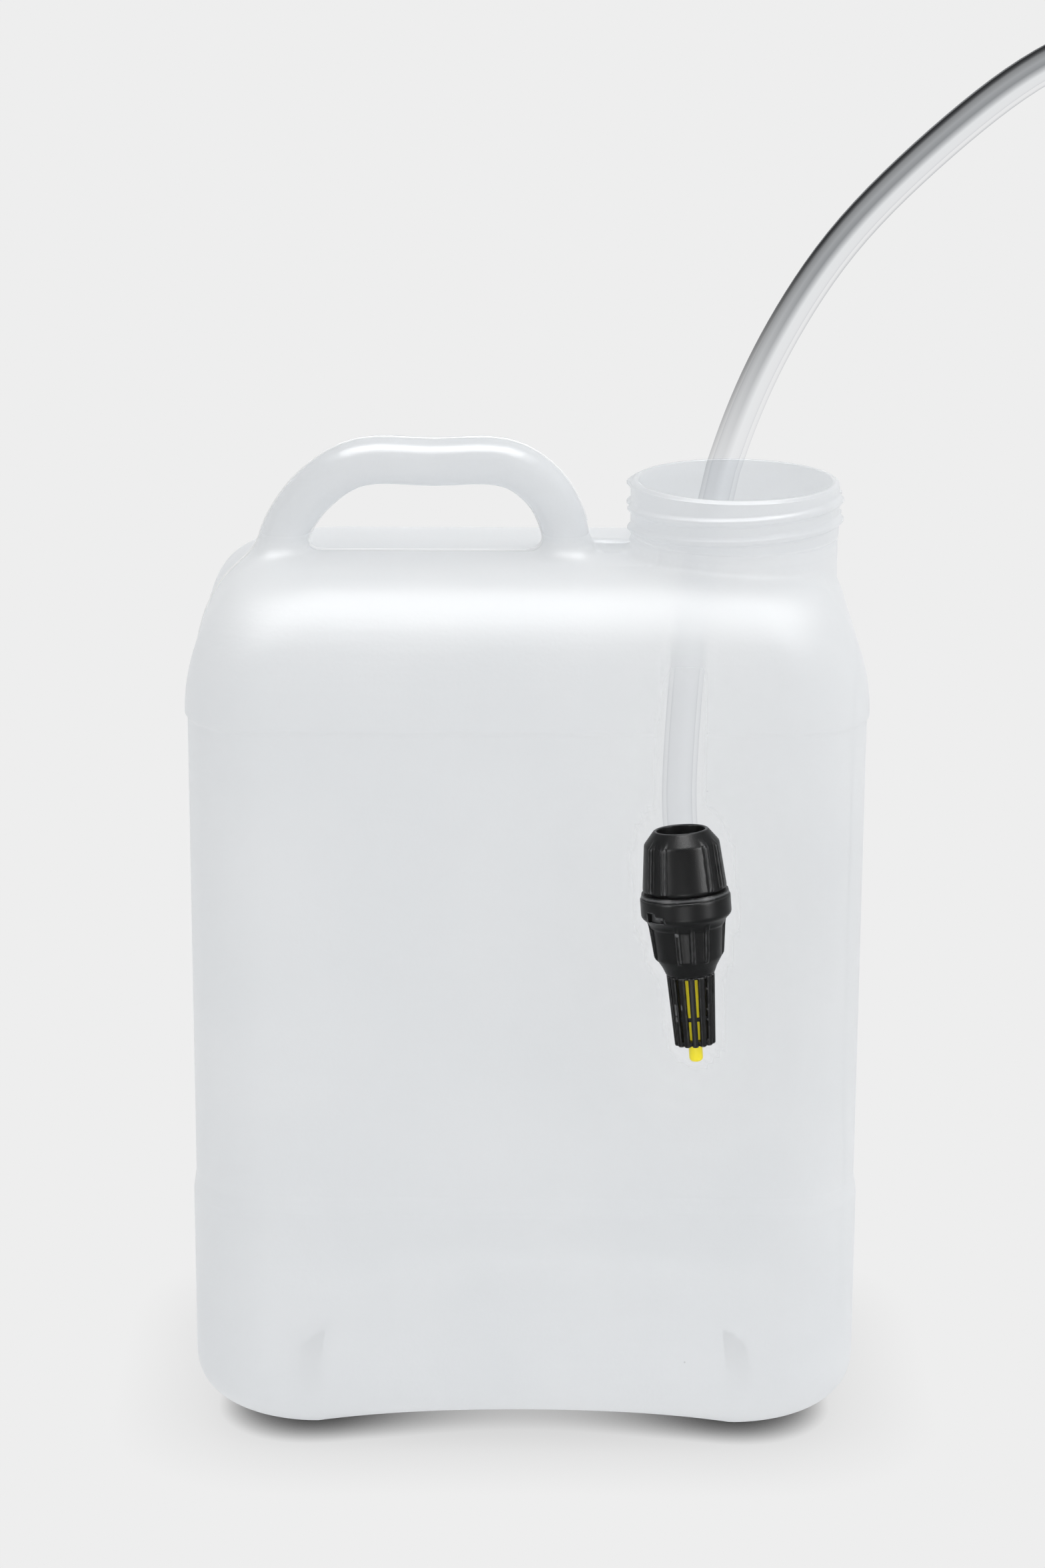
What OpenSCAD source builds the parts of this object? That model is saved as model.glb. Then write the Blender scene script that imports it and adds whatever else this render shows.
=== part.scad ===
// Detergent canister with an open wide screw neck and its suction line.
// A clear hose drops through the neck and ends in a foot valve inside the canister.
// Outside, the hose arches over to the floor, lies in one coil and ends in a pump coupling.
// Z is up, X runs from the handle side to the neck side, Y from front to back.
// The origin is on the floor, under the middle of the canister.

/* [Canister] */
// Width of the canister, handle side to neck side
body_w = 295; // [290:1:310]
// Depth of the canister, front to back
body_d = 192; // [186:1:200]
// Height of the flat deck that carries handle and neck
deck_h = 391; // [380:1:400]
// Thickness of the blown wall
wall = 2; // [1.5:0.1:2.5]
// Radius of the upright corners in plan
corner_r = 35; // [30:1:38]
// Height and depth of the rounded front and back shoulders
shoulder_r = 56; // [52:1:58]
// Width of the rounded shoulders at the two sides
shoulder_side = 36; // [32:1:38]
// Height and depth of the rounded foot edge
foot_r = 38; // [34:1:42]
// Width of the rounded foot edge at the two sides
foot_side = 40; // [36:1:44]
// Rise of the arch under the base
arch_rise = 6; // [3:0.5:8]
// Half length of the arch under the base
arch_half = 90; // [80:1:100]

/* [Side panel] */
// Height of the lower edge of the recessed panel
panel_low = 123; // [110:1:140]
// Depth of the recessed panel
panel_in = 1.2; // [0.6:0.1:1.6]
// Height of the lower panel step
panel_low_step = 8; // [4:1:10]
// Height of the upper panel step
panel_top_step = 4; // [3:1:6]

/* [Handle] */
// Rise of the handle's centre line above the deck
handle_rise = 40; // [37:1:44]
// Length of the handle's straight grip
grip_l = 62; // [55:1:70]
// Thickness of the grip, up and down
grip_t = 20; // [18:0.5:22]
// Thickness of the grip, front to back
grip_d = 30; // [26:1:34]
// Distance from the canister's left side to the grip's left end
grip_from_side = 74.5; // [72:0.5:78]
// Height of the web between handle and neck
web_h = 5.5; // [4:0.5:8]
// Thickness of the web between handle and neck
web_t = 7; // [5:0.5:8]

/* [Neck] */
// Outside diameter of the neck wall
neck_d = 91.8; // [90:0.2:93]
// Diameter of the neck's bore
neck_bore = 85; // [84:0.5:86]
// Height of the rim above the deck
neck_rise = 32.5; // [31:0.5:36]
// Distance from the neck's axis to the canister's right side
neck_from_side = 56.5; // [55:0.5:58]
// Diameter over the thread crests
thread_d = 96; // [95:0.5:98]
// Distance between two turns of the neck thread
thread_pitch = 8.6; // [8:0.1:9]
// Depth of the first thread turn below the rim, at the front
thread_start = 9.2; // [9:0.2:10]
// Height of a thread bead at its root
bead_h = 4.6; // [4:0.2:5]
// Height of the smooth collar under the thread, measured from the deck
collar_rise = 7; // [5:0.5:8]

/* [Hose] */
// Outside diameter of the hose
hose_d = 15; // [14.8:0.1:15]
// Bore of the hose
hose_bore = 11; // [11:0.1:11.4]
// Radius of the coil, at the middle of its turns
coil_r = 82.5; // [80:0.5:85]
// Number of hose layers in the coil
coil_layers = 2; // [2:1:2]
// Width of the strap that ties the coil
tie_w = 10; // [6:1:14]
// Thickness of the strap that ties the coil
tie_t = 1.2; // [1:0.1:1.5]

/* [Foot valve nut] */
// Height of the clamp nut
nut_h = 27; // [26:0.5:29]
// Diameter of the nut's mouth, where the hose goes in
nut_mouth = 21.6; // [21:0.2:22.4]
// Outside diameter of the nut's top rim
nut_rim_d = 24.8; // [24.4:0.2:26]
// Diameter over the nut's ribs at its shoulder
nut_shoulder_d = 35.8; // [35.4:0.2:37]
// Diameter over the nut's ribs at its skirt
nut_skirt_d = 39.8; // [39:0.2:41]
// Height of the nut's sloping shoulder
nut_shoulder_h = 6; // [5:0.5:6.5]
// How far the grip ribs stand out
nut_rib_out = 1.2; // [0.8:0.1:1.4]
// Width of a grip rib
nut_rib_w = 3.4; // [2.6:0.2:4]
// Number of rib groups around the nut
nut_groups = 4; // [3:1:5]
// Angle between the two ribs of a group
nut_rib_angle = 23; // [20:1:26]
// Pitch of the nut's thread
nut_pitch = 3; // [2:0.5:4]
// Bore of the nut's threaded skirt
nut_thread_bore = 30.5; // [30:0.1:31]

/* [Foot valve body] */
// Distance from the nut's top to the seat of the clamp ring
ring_seat = 7; // [6.5:0.5:7.5]
// Height of the clamp ring's cone
ring_cone_h = 4.6; // [4:0.2:5]
// Outside diameter of the collar
collar_d = 40.2; // [39.6:0.2:41]
// Height of the collar
collar_h = 8.5; // [8:0.5:9.5]
// Thickness of the valve head's flange
flange_t = 1.8; // [1.5:0.1:2.5]
// Diameter of the valve head's flange
flange_d = 39.2; // [38.4:0.2:39.6]
// Height of the cone under the collar
collar_cone_h = 5; // [4:0.5:6]
// Diameter of the waist under the collar
waist_d = 32.4; // [32:0.2:33]
// Diameter of the waist at its lower end
waist_end_d = 29; // [28.4:0.2:29.6]
// Height of the waist
waist_h = 14; // [13.5:0.5:16]
// How far the waist ribs stand out
waist_rib_out = 1; // [0.6:0.1:1.3]
// Width of a waist rib
waist_rib_w = 2.6; // [2:0.1:3]
// Height of the cone between waist and strainer
taper_h = 8; // [7.5:0.5:9]
// Height of the valve seat above the waist's lower end
seat_up = 5.5; // [5:0.5:6]
// Thickness of the valve seat
seat_t = 2.5; // [2:0.1:3]
// Diameter of the hole in the valve seat
seat_hole = 12; // [11:0.5:12.5]

/* [Strainer] */
// Diameter of the strainer at its top
strainer_d = 21.7; // [21.4:0.1:22.4]
// Diameter of the strainer at its foot
strainer_end_d = 18.3; // [18:0.1:19]
// Height of the strainer
strainer_h = 32.3; // [30:0.1:35]
// Thickness of the strainer's wall
strainer_wall = 2; // [1.8:0.1:2.2]
// Number of strainer slots, an even number
slots = 14; // [12:2:16]
// Width of a strainer slot
slot_w = 2; // [1.6:0.1:2.2]
// Height of the ring that ties the strainer's bars together
bar_ring_h = 1.7; // [1.2:0.1:2.4]

/* [Valve stem] */
// Diameter of the valve stem
stem_d = 6.2; // [5.6:0.1:6.6]
// How far the stem stands out under the strainer
stem_out = 8; // [6:0.5:10]
// Diameter of the stem's disc and of its seal
disc_d = 15; // [14.5:0.1:16]
// Thickness of the stem's disc
disc_t = 2; // [1.6:0.1:2.4]
// Thickness of the stem's seal
seal_t = 1.5; // [1.2:0.1:1.8]
// Wire diameter of the return spring
spring_wire = 0.9; // [0.8:0.1:1]
// Diameter of the return spring, at the middle of its wire
spring_d = 9; // [8.8:0.1:9.4]
// Number of turns of the return spring
spring_turns = 5; // [4:1:6]

/* [Pump coupling] */
// Outside diameter of the coupling nut
coupling_d = 26; // [25:0.2:26]
// Length of the coupling nut
coupling_l = 17; // [16:0.5:19]
// Bore of the coupling nut's thread
coupling_bore = 20.4; // [20:0.1:21]
// Thickness of the coupling nut's back wall
coupling_back = 4; // [3.5:0.1:4.5]
// Thickness of the flat washer in the nut
washer_t = 2; // [1.6:0.1:2.4]
// Number of grip flutes on the coupling nut
flutes = 12; // [8:1:16]
// Length of the spigot inside the hose
spigot_l = 17; // [15:0.5:20]
// Width of the hose clip
clip_w = 7; // [6:0.5:8]
// Thickness of the hose clip's band
clip_t = 0.7; // [0.6:0.1:0.8]

/* [Clearances] */
// Gap of a running fit, all round
run_gap = 0.1; // [0.05:0.01:0.1]
// Gap of a seated fit, all round
seat_gap = 0.05; // [0.03:0.01:0.08]
// Gap between the nut's skirt and the flange under it
nut_gap = 0.6; // [0.4:0.1:0.8]
// Gap between the clamp ring and the hose
ring_gap = 0.25; // [0.2:0.01:0.3]
// Gap between the clamp ring and the nut's inner cone
cone_gap = 0.4; // [0.3:0.1:0.5]
// Gap between the coil and its strap
tie_gap = 0.3; // [0.2:0.05:0.4]
// Gap around a bayonet lug in its window
lug_gap = 0.4; // [0.3:0.1:0.6]

/* [Hidden] */

$fn = 64;
eps = 0.01;
cut = 1;

// The foot valve hangs by its hose inside the canister, a little out of plumb.
valve_at = [67.8, -40, 275.1];
valve_turn = [-6, -4.5, 0];

// Route of the hose from the nut's mouth to the coil, and from the coil to the coupling.
hose_route = [
    [69, -41.6, 260.2], [68.3, -40.8, 268.1], [67.8, -40, 275.1], [67.2, -39.2, 283],
    [67, -37.7, 296], [68, -35.7, 320], [70, -33.2, 348], [72.9, -31.2, 375],
    [76.2, -31, 400], [81, -32.8, 422], [86.5, -34.5, 446], [97.5, -38, 476],
    [110, -42, 502], [130, -48, 536], [158, -55, 567], [190, -62, 597],
    [215, -66, 615], [252, -70, 631], [292, -73, 636], [331, -75, 631],
    [367, -77, 616], [398, -79, 592], [422, -80, 561], [437, -81, 525],
    [444, -83, 486], [447, -84, 420], [449, -84.5, 340], [449, -84.5, 260],
    [447, -84, 180], [443, -83, 115], [437, -82.5, 80], [423, -82.5, 51],
    [403, -82.5, 32], [384, -82.5, 24], [364, -82.5, 22.5]
];
tail_route = [
    [364, 82.5, 7.5], [382, 82.5, 7.5], [400, 82.5, 7.5], [410, 82.5, 8.4],
    [420, 82.5, 10.6], [430, 82.5, 12.6], [440, 82.5, 13.2], [452, 82.5, 13.2],
    [466, 82.5, 13.2]
];
coil_at = [364, 0, 0];
hose_sides = 12;

// Places on the canister
neck_x = body_w / 2 - neck_from_side;
rim_h = deck_h + neck_rise;
panel_top = deck_h - shoulder_r - panel_top_step;
shoulder_plan_r = corner_r + 3;
collar_gap = 0.4;
thread_lean = atan(thread_pitch / 4 / (thread_d / 2));

// Depths on the foot valve, measured down from the nut's top
flange_top = nut_h + nut_gap;
flange_low = flange_top + flange_t;
housing_top = flange_low + run_gap;
collar_low = housing_top + collar_h;
waist_top = collar_low + collar_cone_h;
waist_low = waist_top + waist_h;
strainer_top = waist_low + taper_h;
strainer_low = strainer_top + strainer_h;
stem_tip = strainer_low + stem_out;
seat_top = waist_low - seat_up;
seal_top = seat_top - run_gap - seal_t;
disc_top = seal_top - disc_t;

// Sizes inside the foot valve
barb_bore = hose_bore - 3.8;
barb_d = hose_bore - 1;
barb_tip = 4;
head_top = ring_seat + ring_cone_h + 3.7;
head_thread_d = nut_thread_bore - 2 * run_gap;
head_low = collar_low + 2;
collar_bore = collar_d - 5.6;
spigot_d = collar_bore - 2 * run_gap;
pocket_d = disc_d + 2;
pocket_top = flange_low + 4.6;
chamber_d = waist_end_d - 2.2;
o_ring_wire = 1.6;
o_ring_depth = flange_low + 2.4;
o_ring_mid_d = collar_bore - o_ring_wire - 3 * run_gap;
lug_h = 2.2;
lug_depth = housing_top + 5.4;
lug_angle = 12;
lug_turn = 20;
lug_at = 220;
window_h = 4.2;
basket_spigot_h = 5;
basket_spigot_d = strainer_d - 2 * strainer_wall + 0.3;
stem_nose = 3;
spring_pin_d = spring_d - 3;

// Sizes on the pump coupling
coupling_axis = tail_route[len(tail_route) - 1];
spigot_flange_d = coupling_bore - 0.8;
spigot_neck_d = hose_bore + 2;
spigot_bore = hose_bore - 4;
spigot_body_d = hose_bore - 1;
spigot_flange_t = 2;
coupling_start = 3;
washer_at = coupling_start + coupling_back + run_gap + spigot_flange_t + seat_gap;

// ---------- shared geometry ----------

function arc_points(centre, r, from, to, steps) =
    [for (i = [0:steps]) let (a = from + (to - from) * i / steps)
        [centre[0] + r * cos(a), centre[1] + r * sin(a)]];

// One level of a rounded box, anticlockwise from above, the front half first.
function level_outline(half_w, half_d, r, steps, fill) =
    let (x = half_w - r, y = half_d - r)
    concat(
        arc_points([-x, -y], r, 180, 270, steps),
        [for (i = [1:fill]) [-x + 2 * x * i / (fill + 1), -half_d]],
        arc_points([x, -y], r, 270, 360, steps),
        arc_points([x, y], r, 0, 90, steps),
        [for (i = [1:fill]) [x - 2 * x * i / (fill + 1), half_d]],
        arc_points([-x, y], r, 90, 180, steps)
    );

// The base rises in an arch between its two feet, and the arch dies out up the wall.
function arch_lift(x, z, half) =
    let (u = min(1, abs(x) / half), v = max(0, 1 - z / foot_r))
    arch_rise * (1 - u * u) * v * v;

// Levels of the body: [height, inset at the sides, inset at front and back, plan radius]
function body_levels(t, foot_steps, shoulder_steps, with_panel) = concat(
    [for (i = [0:foot_steps - 1]) let (a = 90 - 90 * i / foot_steps)
        [t + (foot_r - t) * (1 - sin(a)), t + (foot_side - t) * (1 - cos(a)),
         t + (foot_r - t) * (1 - cos(a)), corner_r - t]],
    [[foot_r, t, t, corner_r - t]],
    with_panel ? [
        [panel_low - panel_low_step, t, t, corner_r - t],
        [panel_low, t + panel_in, t + panel_in, corner_r - t - panel_in],
        [panel_top, t + panel_in, t + panel_in, corner_r - t - panel_in]
    ] : [],
    [for (i = [0:shoulder_steps]) let (a = 90 * i / shoulder_steps)
        [deck_h - shoulder_r + (shoulder_r - t) * sin(a),
         t + (shoulder_side - t) * (1 - cos(a)),
         t + (shoulder_r - t) * (1 - cos(a)),
         corner_r - t + (shoulder_plan_r - corner_r) * (1 - cos(a))]]
);

module body_form(t, foot_steps, shoulder_steps, corner_steps, fill, with_panel) {
    levels = body_levels(t, foot_steps, shoulder_steps, with_panel);
    count = 4 * (corner_steps + 1) + 2 * fill;
    rows = len(levels);
    points = [for (level = levels)
        for (p = level_outline(body_w / 2 - level[1], body_d / 2 - level[2],
                               level[3], corner_steps, fill))
            [p[0], p[1], level[0] + arch_lift(p[0], level[0] - t, arch_half)]];
    sides = [for (row = [0:rows - 2]) for (i = [0:count - 1])
        let (a = row * count + i, b = row * count + (i + 1) % count,
             c = b + count, d = a + count)
        each [[a, c, b], [a, d, c]]];
    top = (rows - 1) * count;
    caps = [for (i = [0:count / 2 - 2])
        let (a = i, b = i + 1, c = count - 2 - i, d = count - 1 - i)
        each [[a, b, c], [a, c, d],
              [top + a, top + c, top + b], [top + a, top + d, top + c]]];
    polyhedron(points, concat(sides, caps), convexity = 4);
}

// Smooth curve through a list of points
function curve_point(a, b, c, d, t) =
    0.5 * (2 * b + (c - a) * t + (2 * a - 5 * b + 4 * c - d) * t * t
           + (3 * b - a - 3 * c + d) * t * t * t);
function smooth_path(p, steps) = let (n = len(p)) concat(
    [for (i = [0:n - 2]) for (j = [0:steps - 1])
        curve_point(p[max(0, i - 1)], p[i], p[i + 1], p[min(n - 1, i + 2)], j / steps)],
    [p[n - 1]]
);

// Rings of points across a path. side_axis is never along the path.
function unit(v) = v / norm(v);
function sweep_rings(path, half_in, half_side, power, sides, side_axis) =
    let (n = len(path))
    [for (i = [0:n - 1])
        let (dir = unit(path[min(n - 1, i + 1)] - path[max(0, i - 1)]),
             inward = unit(cross(side_axis, dir)), side = cross(dir, inward))
        for (k = [0:sides - 1])
            let (c = cos(360 * (k + 0.5) / sides), s = sin(360 * (k + 0.5) / sides))
            path[i] + inward * (half_in * sign(c) * pow(abs(c), 2 / power))
                    + side * (half_side * sign(s) * pow(abs(s), 2 / power))];
function ring_faces(rows, sides, first, flip) =
    [for (row = [0:rows - 2]) for (k = [0:sides - 1])
        let (a = first + row * sides + k, b = first + row * sides + (k + 1) % sides,
             c = b + sides, d = a + sides)
        each flip ? [[a, c, b], [a, d, c]] : [[a, b, c], [a, c, d]]];

module solid_sweep(path, half_in, half_side, power, sides, side_axis) {
    rows = len(path);
    start_cap = [for (k = [1:sides - 2]) [0, k + 1, k]];
    end_cap = [for (k = [1:sides - 2]) let (f = (rows - 1) * sides) [f, f + k, f + k + 1]];
    faces = concat(ring_faces(rows, sides, 0, false), start_cap, end_cap);
    polyhedron(sweep_rings(path, half_in, half_side, power, sides, side_axis),
               [for (f = faces) [f[0], f[2], f[1]]], convexity = 6);
}

module hose_sweep(path) {
    rows = len(path);
    across = [0, 1, 0];
    inner = rows * hose_sides;
    points = concat(
        sweep_rings(path, hose_d / 2, hose_d / 2, 2, hose_sides, across),
        sweep_rings(path, hose_bore / 2, hose_bore / 2, 2, hose_sides, across)
    );
    last = (rows - 1) * hose_sides;
    ends = [for (k = [0:hose_sides - 1]) let (n = (k + 1) % hose_sides)
        each [[k, inner + k, inner + n], [k, inner + n, n],
              [last + k, last + inner + n, last + inner + k],
              [last + k, last + n, last + inner + n]]];
    faces = concat(ring_faces(rows, hose_sides, 0, false),
                   ring_faces(rows, hose_sides, inner, true), ends);
    polyhedron(points, [for (f = faces) [f[0], f[2], f[1]]], convexity = 8);
}

// The foot valve is drawn upright with the nut's top at zero, then hung in place.
module hang_valve() {
    translate(valve_at) rotate(valve_turn) children();
}
// A round solid from one depth to another, with its diameters there
module turned(top, low, top_d, low_d) {
    translate([0, 0, -low]) cylinder(h = low - top, d1 = low_d, d2 = top_d);
}
module sector(angle, r, h) {
    rotate([0, 0, -angle / 2]) rotate_extrude(angle = angle) square([r, h]);
}

// ---------- canister ----------

function handle_path() =
    let (left = -body_w / 2 + grip_from_side, right = left + grip_l, top = deck_h + handle_rise)
    smooth_path([
        [left - 44, 0, deck_h - 28], [left - 38, 0, deck_h - 6], [left - 33, 0, deck_h + 11],
        [left - 20, 0, deck_h + 28.5], [left, 0, top], [left + grip_l / 2, 0, top],
        [right, 0, top], [right + 18, 0, deck_h + 29], [right + 27, 0, deck_h + 12],
        [right + 29, 0, deck_h - 6], [right + 30, 0, deck_h - 24]
    ], 3);

module neck_bead(depth, from) {
    front = from > 180;
    r = neck_d / 2 - 0.6;
    translate([neck_x, 0, rim_h - depth])
        rotate([0, front ? -thread_lean : thread_lean, 0])
            rotate([0, 0, from + 4])
                rotate_extrude(angle = 172)
                    polygon([[r, -bead_h / 2], [thread_d / 2, -0.6],
                             [thread_d / 2, 0.6], [r, bead_h / 2]]);
}

module neck_outside() {
    root = deck_h - 26;
    translate([neck_x, 0, root])
        cylinder(h = deck_h + collar_rise - root, d = neck_d - 2 * collar_gap);
    translate([neck_x, 0, deck_h + collar_rise])
        cylinder(h = neck_rise - collar_rise - 1.5, d = neck_d);
    translate([neck_x, 0, rim_h - 1.5]) cylinder(h = 1.5, d1 = neck_d, d2 = neck_d - 2.4);
    for (turn = [0:1]) {
        neck_bead(thread_start + turn * thread_pitch, 180);
        neck_bead(thread_start + (turn - 0.5) * thread_pitch, 0);
    }
}

module handle_web() {
    start = -body_w / 2 + grip_from_side + grip_l + 27;
    translate([start, -web_t / 2, deck_h - 10])
        cube([neck_x - neck_bore / 2 - 1.5 - start, web_t, web_h + 10]);
}

module canister_body() {
    color("whitesmoke") difference() {
        union() {
            body_form(0, 5, 7, 6, 8, true);
            solid_sweep(handle_path(), grip_t / 2, grip_d / 2, 2.6, 18, [0, 1, 0]);
            neck_outside();
            handle_web();
        }
        body_form(wall + panel_in, 4, 5, 4, 8, false);
        solid_sweep(handle_path(), grip_t / 2 - wall, grip_d / 2 - wall, 2.3, 14, [0, 1, 0]);
        translate([neck_x, 0, deck_h - 16]) cylinder(h = neck_rise + 20, d = neck_bore);
    }
}

// ---------- hose ----------

module suction_hose() {
    color([0.86, 0.89, 0.92, 0.5]) hose_sweep(smooth_path(hose_route, 2));
}

module hose_coil() {
    color([0.86, 0.89, 0.92, 0.5]) translate(coil_at) rotate_extrude()
        translate([coil_r, coil_layers * hose_d / 2]) union() {
            square([hose_d, (coil_layers - 1) * hose_d], center = true);
            for (side = [-1, 1])
                translate([0, side * (coil_layers - 1) * hose_d / 2]) circle(d = hose_d);
        }
}

module hose_tail() {
    color([0.86, 0.89, 0.92, 0.5]) hose_sweep(smooth_path(tail_route, 2));
}

module coil_tie() {
    inside = [hose_d + 2 * tie_gap, coil_layers * hose_d + tie_gap];
    color("dimgray") translate(coil_at + [coil_r, 0, 0]) difference() {
        translate([-inside[0] / 2 - tie_t, -tie_w / 2, 0])
            cube([inside[0] + 2 * tie_t, tie_w, inside[1] + tie_t]);
        translate([-inside[0] / 2, -tie_w / 2 - cut, -cut])
            cube([inside[0], tie_w + 2 * cut, inside[1] + cut]);
    }
}

// ---------- foot valve ----------

// Rib groups stand around the nut, clear of the plain panels between them.
module nut_ribs() {
    for (group = [0:nut_groups - 1]) for (side = [-1, 1])
        rotate([0, 0, 48 + 360 / nut_groups * group + side * nut_rib_angle / 2])
            rotate([90, 0, 0]) linear_extrude(nut_rib_w, center = true) polygon([
                [nut_rim_d / 2 - 2, -1.2], [nut_rim_d / 2 - 0.2, -1.2],
                [nut_shoulder_d / 2, -nut_shoulder_h], [nut_skirt_d / 2, 2 - nut_h],
                [nut_skirt_d / 2 - 1.4, 0.4 - nut_h], [nut_shoulder_d / 2 - 1.6, 0.4 - nut_h],
                [nut_shoulder_d / 2 - 2.2, -nut_shoulder_h]
            ]);
}

module clamp_nut() {
    color([0.1, 0.1, 0.11]) hang_valve() difference() {
        union() {
            turned(0, nut_shoulder_h, nut_rim_d, nut_shoulder_d - 2 * nut_rib_out);
            turned(nut_shoulder_h, nut_h, nut_shoulder_d - 2 * nut_rib_out,
                   nut_skirt_d - 2 * nut_rib_out);
            nut_ribs();
        }
        turned(-cut, nut_h + cut, nut_mouth, nut_mouth);
        turned(ring_seat, ring_seat + ring_cone_h, nut_mouth, nut_thread_bore);
        turned(ring_seat + ring_cone_h, nut_h + cut, nut_thread_bore, nut_thread_bore);
    }
}

module clamp_ring() {
    top_d = nut_mouth - 2 * cone_gap;
    low_d = nut_thread_bore - 2 * cone_gap - 0.6;
    top = ring_seat + cone_gap;
    cone_low = top + ring_cone_h;
    low = head_top - run_gap;
    color([0.16, 0.16, 0.17]) hang_valve() difference() {
        union() {
            turned(top, cone_low, top_d, low_d);
            turned(cone_low, low, low_d, low_d);
        }
        turned(top - cut, low + cut, hose_d + 2 * ring_gap, hose_d + 2 * ring_gap);
        translate([0, -1, -low - cut]) cube([low_d, 2, low - top + 2 * cut]);
    }
}

module valve_head() {
    color([0.11, 0.11, 0.12]) hang_valve() difference() {
        union() {
            turned(barb_tip, barb_tip + 3, barb_d - 1.2, barb_d);
            turned(barb_tip + 3, head_top + eps, barb_d, barb_d);
            turned(head_top, flange_top + eps, head_thread_d, head_thread_d);
            turned(flange_top, flange_low, flange_d - 0.8, flange_d);
            turned(flange_low - eps, head_low, spigot_d, spigot_d);
            for (side = [0, 180]) rotate([0, 0, lug_at + lug_turn / 2 + side])
                translate([0, 0, -lug_depth - lug_h])
                    sector(lug_angle, collar_d / 2 - 0.8, lug_h);
        }
        turned(barb_tip - cut, pocket_top + cut, barb_bore, barb_bore);
        turned(pocket_top, head_low + cut, pocket_d, pocket_d);
        translate([0, 0, -o_ring_depth]) rotate_extrude()
            translate([(o_ring_mid_d - o_ring_wire) / 2 - seat_gap, -o_ring_wire / 2 - run_gap])
                square([5, o_ring_wire + 2 * run_gap]);
    }
}

module head_o_ring() {
    color("black") hang_valve() translate([0, 0, -o_ring_depth])
        rotate_extrude() translate([o_ring_mid_d / 2, 0]) circle(d = o_ring_wire);
}

module waist_ribs() {
    front_fan = 24;
    for (a = [-front_fan, 0, front_fan, 90, 180 - front_fan, 180, 180 + front_fan, 270])
        rotate([0, 0, a + 276]) rotate([90, 0, 0])
            linear_extrude(waist_rib_w, center = true) polygon([
                [waist_end_d / 2 - 1, -collar_low - 2], [collar_d / 2 - 1.6, -collar_low - 1],
                [waist_d / 2 + waist_rib_out, -waist_top], [waist_end_d / 2 + waist_rib_out, -waist_low],
                [waist_end_d / 2 - 1, -waist_low - 2]
            ]);
}

module bayonet_window() {
    span = lug_angle + lug_turn + 2;
    for (side = [0, 180]) rotate([0, 0, lug_at + side])
        translate([0, 0, -lug_depth - lug_h - lug_gap])
            rotate([0, 0, -span / 2]) rotate_extrude(angle = span)
                translate([collar_bore / 2 - cut, 0]) square([6, lug_h + 2 * lug_gap]);
}

module valve_housing() {
    low_bore = basket_spigot_d + 2 * seat_gap;
    color([0.11, 0.11, 0.12]) hang_valve() difference() {
        union() {
            turned(housing_top, collar_low, collar_d, collar_d);
            turned(collar_low, waist_top, collar_d, waist_d);
            turned(waist_top, waist_low, waist_d, waist_end_d);
            turned(waist_low, strainer_top, waist_end_d, strainer_d);
            waist_ribs();
        }
        turned(housing_top - cut, head_low + run_gap, collar_bore, collar_bore);
        turned(head_low, seat_top, chamber_d, chamber_d);
        turned(seat_top - cut, seat_top + seat_t + cut, seat_hole, seat_hole);
        turned(seat_top + seat_t, waist_low, waist_end_d - 4.4, waist_end_d - 4.4);
        turned(waist_low - eps, strainer_top - basket_spigot_h + 1, waist_end_d - 4.4, low_bore);
        turned(strainer_top - basket_spigot_h, strainer_top + cut, low_bore, low_bore);
        bayonet_window();
    }
}

module strainer_basket() {
    floor_t = 2.3;
    slot_top = strainer_top + 1.4;
    ring_at = strainer_top + 0.58 * strainer_h;
    color([0.11, 0.11, 0.12]) hang_valve() difference() {
        union() {
            turned(strainer_top + seat_gap, strainer_low, strainer_d, strainer_end_d);
            turned(strainer_top - basket_spigot_h + 1, strainer_top + 1, basket_spigot_d, basket_spigot_d);
        }
        turned(strainer_top - basket_spigot_h, strainer_low - floor_t,
               basket_spigot_d - 2 * strainer_wall + 0.4, strainer_end_d - 2 * strainer_wall);
        turned(strainer_top, strainer_low + cut, stem_d + 2 * run_gap, stem_d + 2 * run_gap);
        for (k = [0:slots / 2 - 1]) rotate([0, 0, 270 + 360 / slots * (k + 0.5)]) {
            translate([-strainer_d, -slot_w / 2, -ring_at])
                cube([2 * strainer_d, slot_w, ring_at - slot_top]);
            translate([-strainer_d, -slot_w / 2 + 0.25, floor_t - strainer_low])
                cube([2 * strainer_d, slot_w - 0.5, strainer_low - floor_t - ring_at - bar_ring_h]);
        }
    }
}

module valve_stem() {
    pin_top = disc_top - 3;
    color([0.93, 0.82, 0.1]) hang_valve() union() {
        turned(pin_top, disc_top + eps, spring_pin_d - 0.6, spring_pin_d);
        turned(disc_top, seal_top, disc_d, disc_d);
        turned(seal_top - eps, stem_tip - stem_nose, stem_d, stem_d);
        turned(stem_tip - stem_nose - eps, stem_tip - 1, stem_d, stem_d - 1.4);
        turned(stem_tip - 1 - eps, stem_tip, stem_d - 1.4, stem_d - 3.4);
    }
}

module stem_seal() {
    color("black") hang_valve() difference() {
        turned(seal_top + seat_gap, seal_top + seal_t, disc_d, disc_d);
        turned(seal_top - cut, seal_top + seal_t + cut, stem_d + 2 * seat_gap, stem_d + 2 * seat_gap);
    }
}

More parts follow.
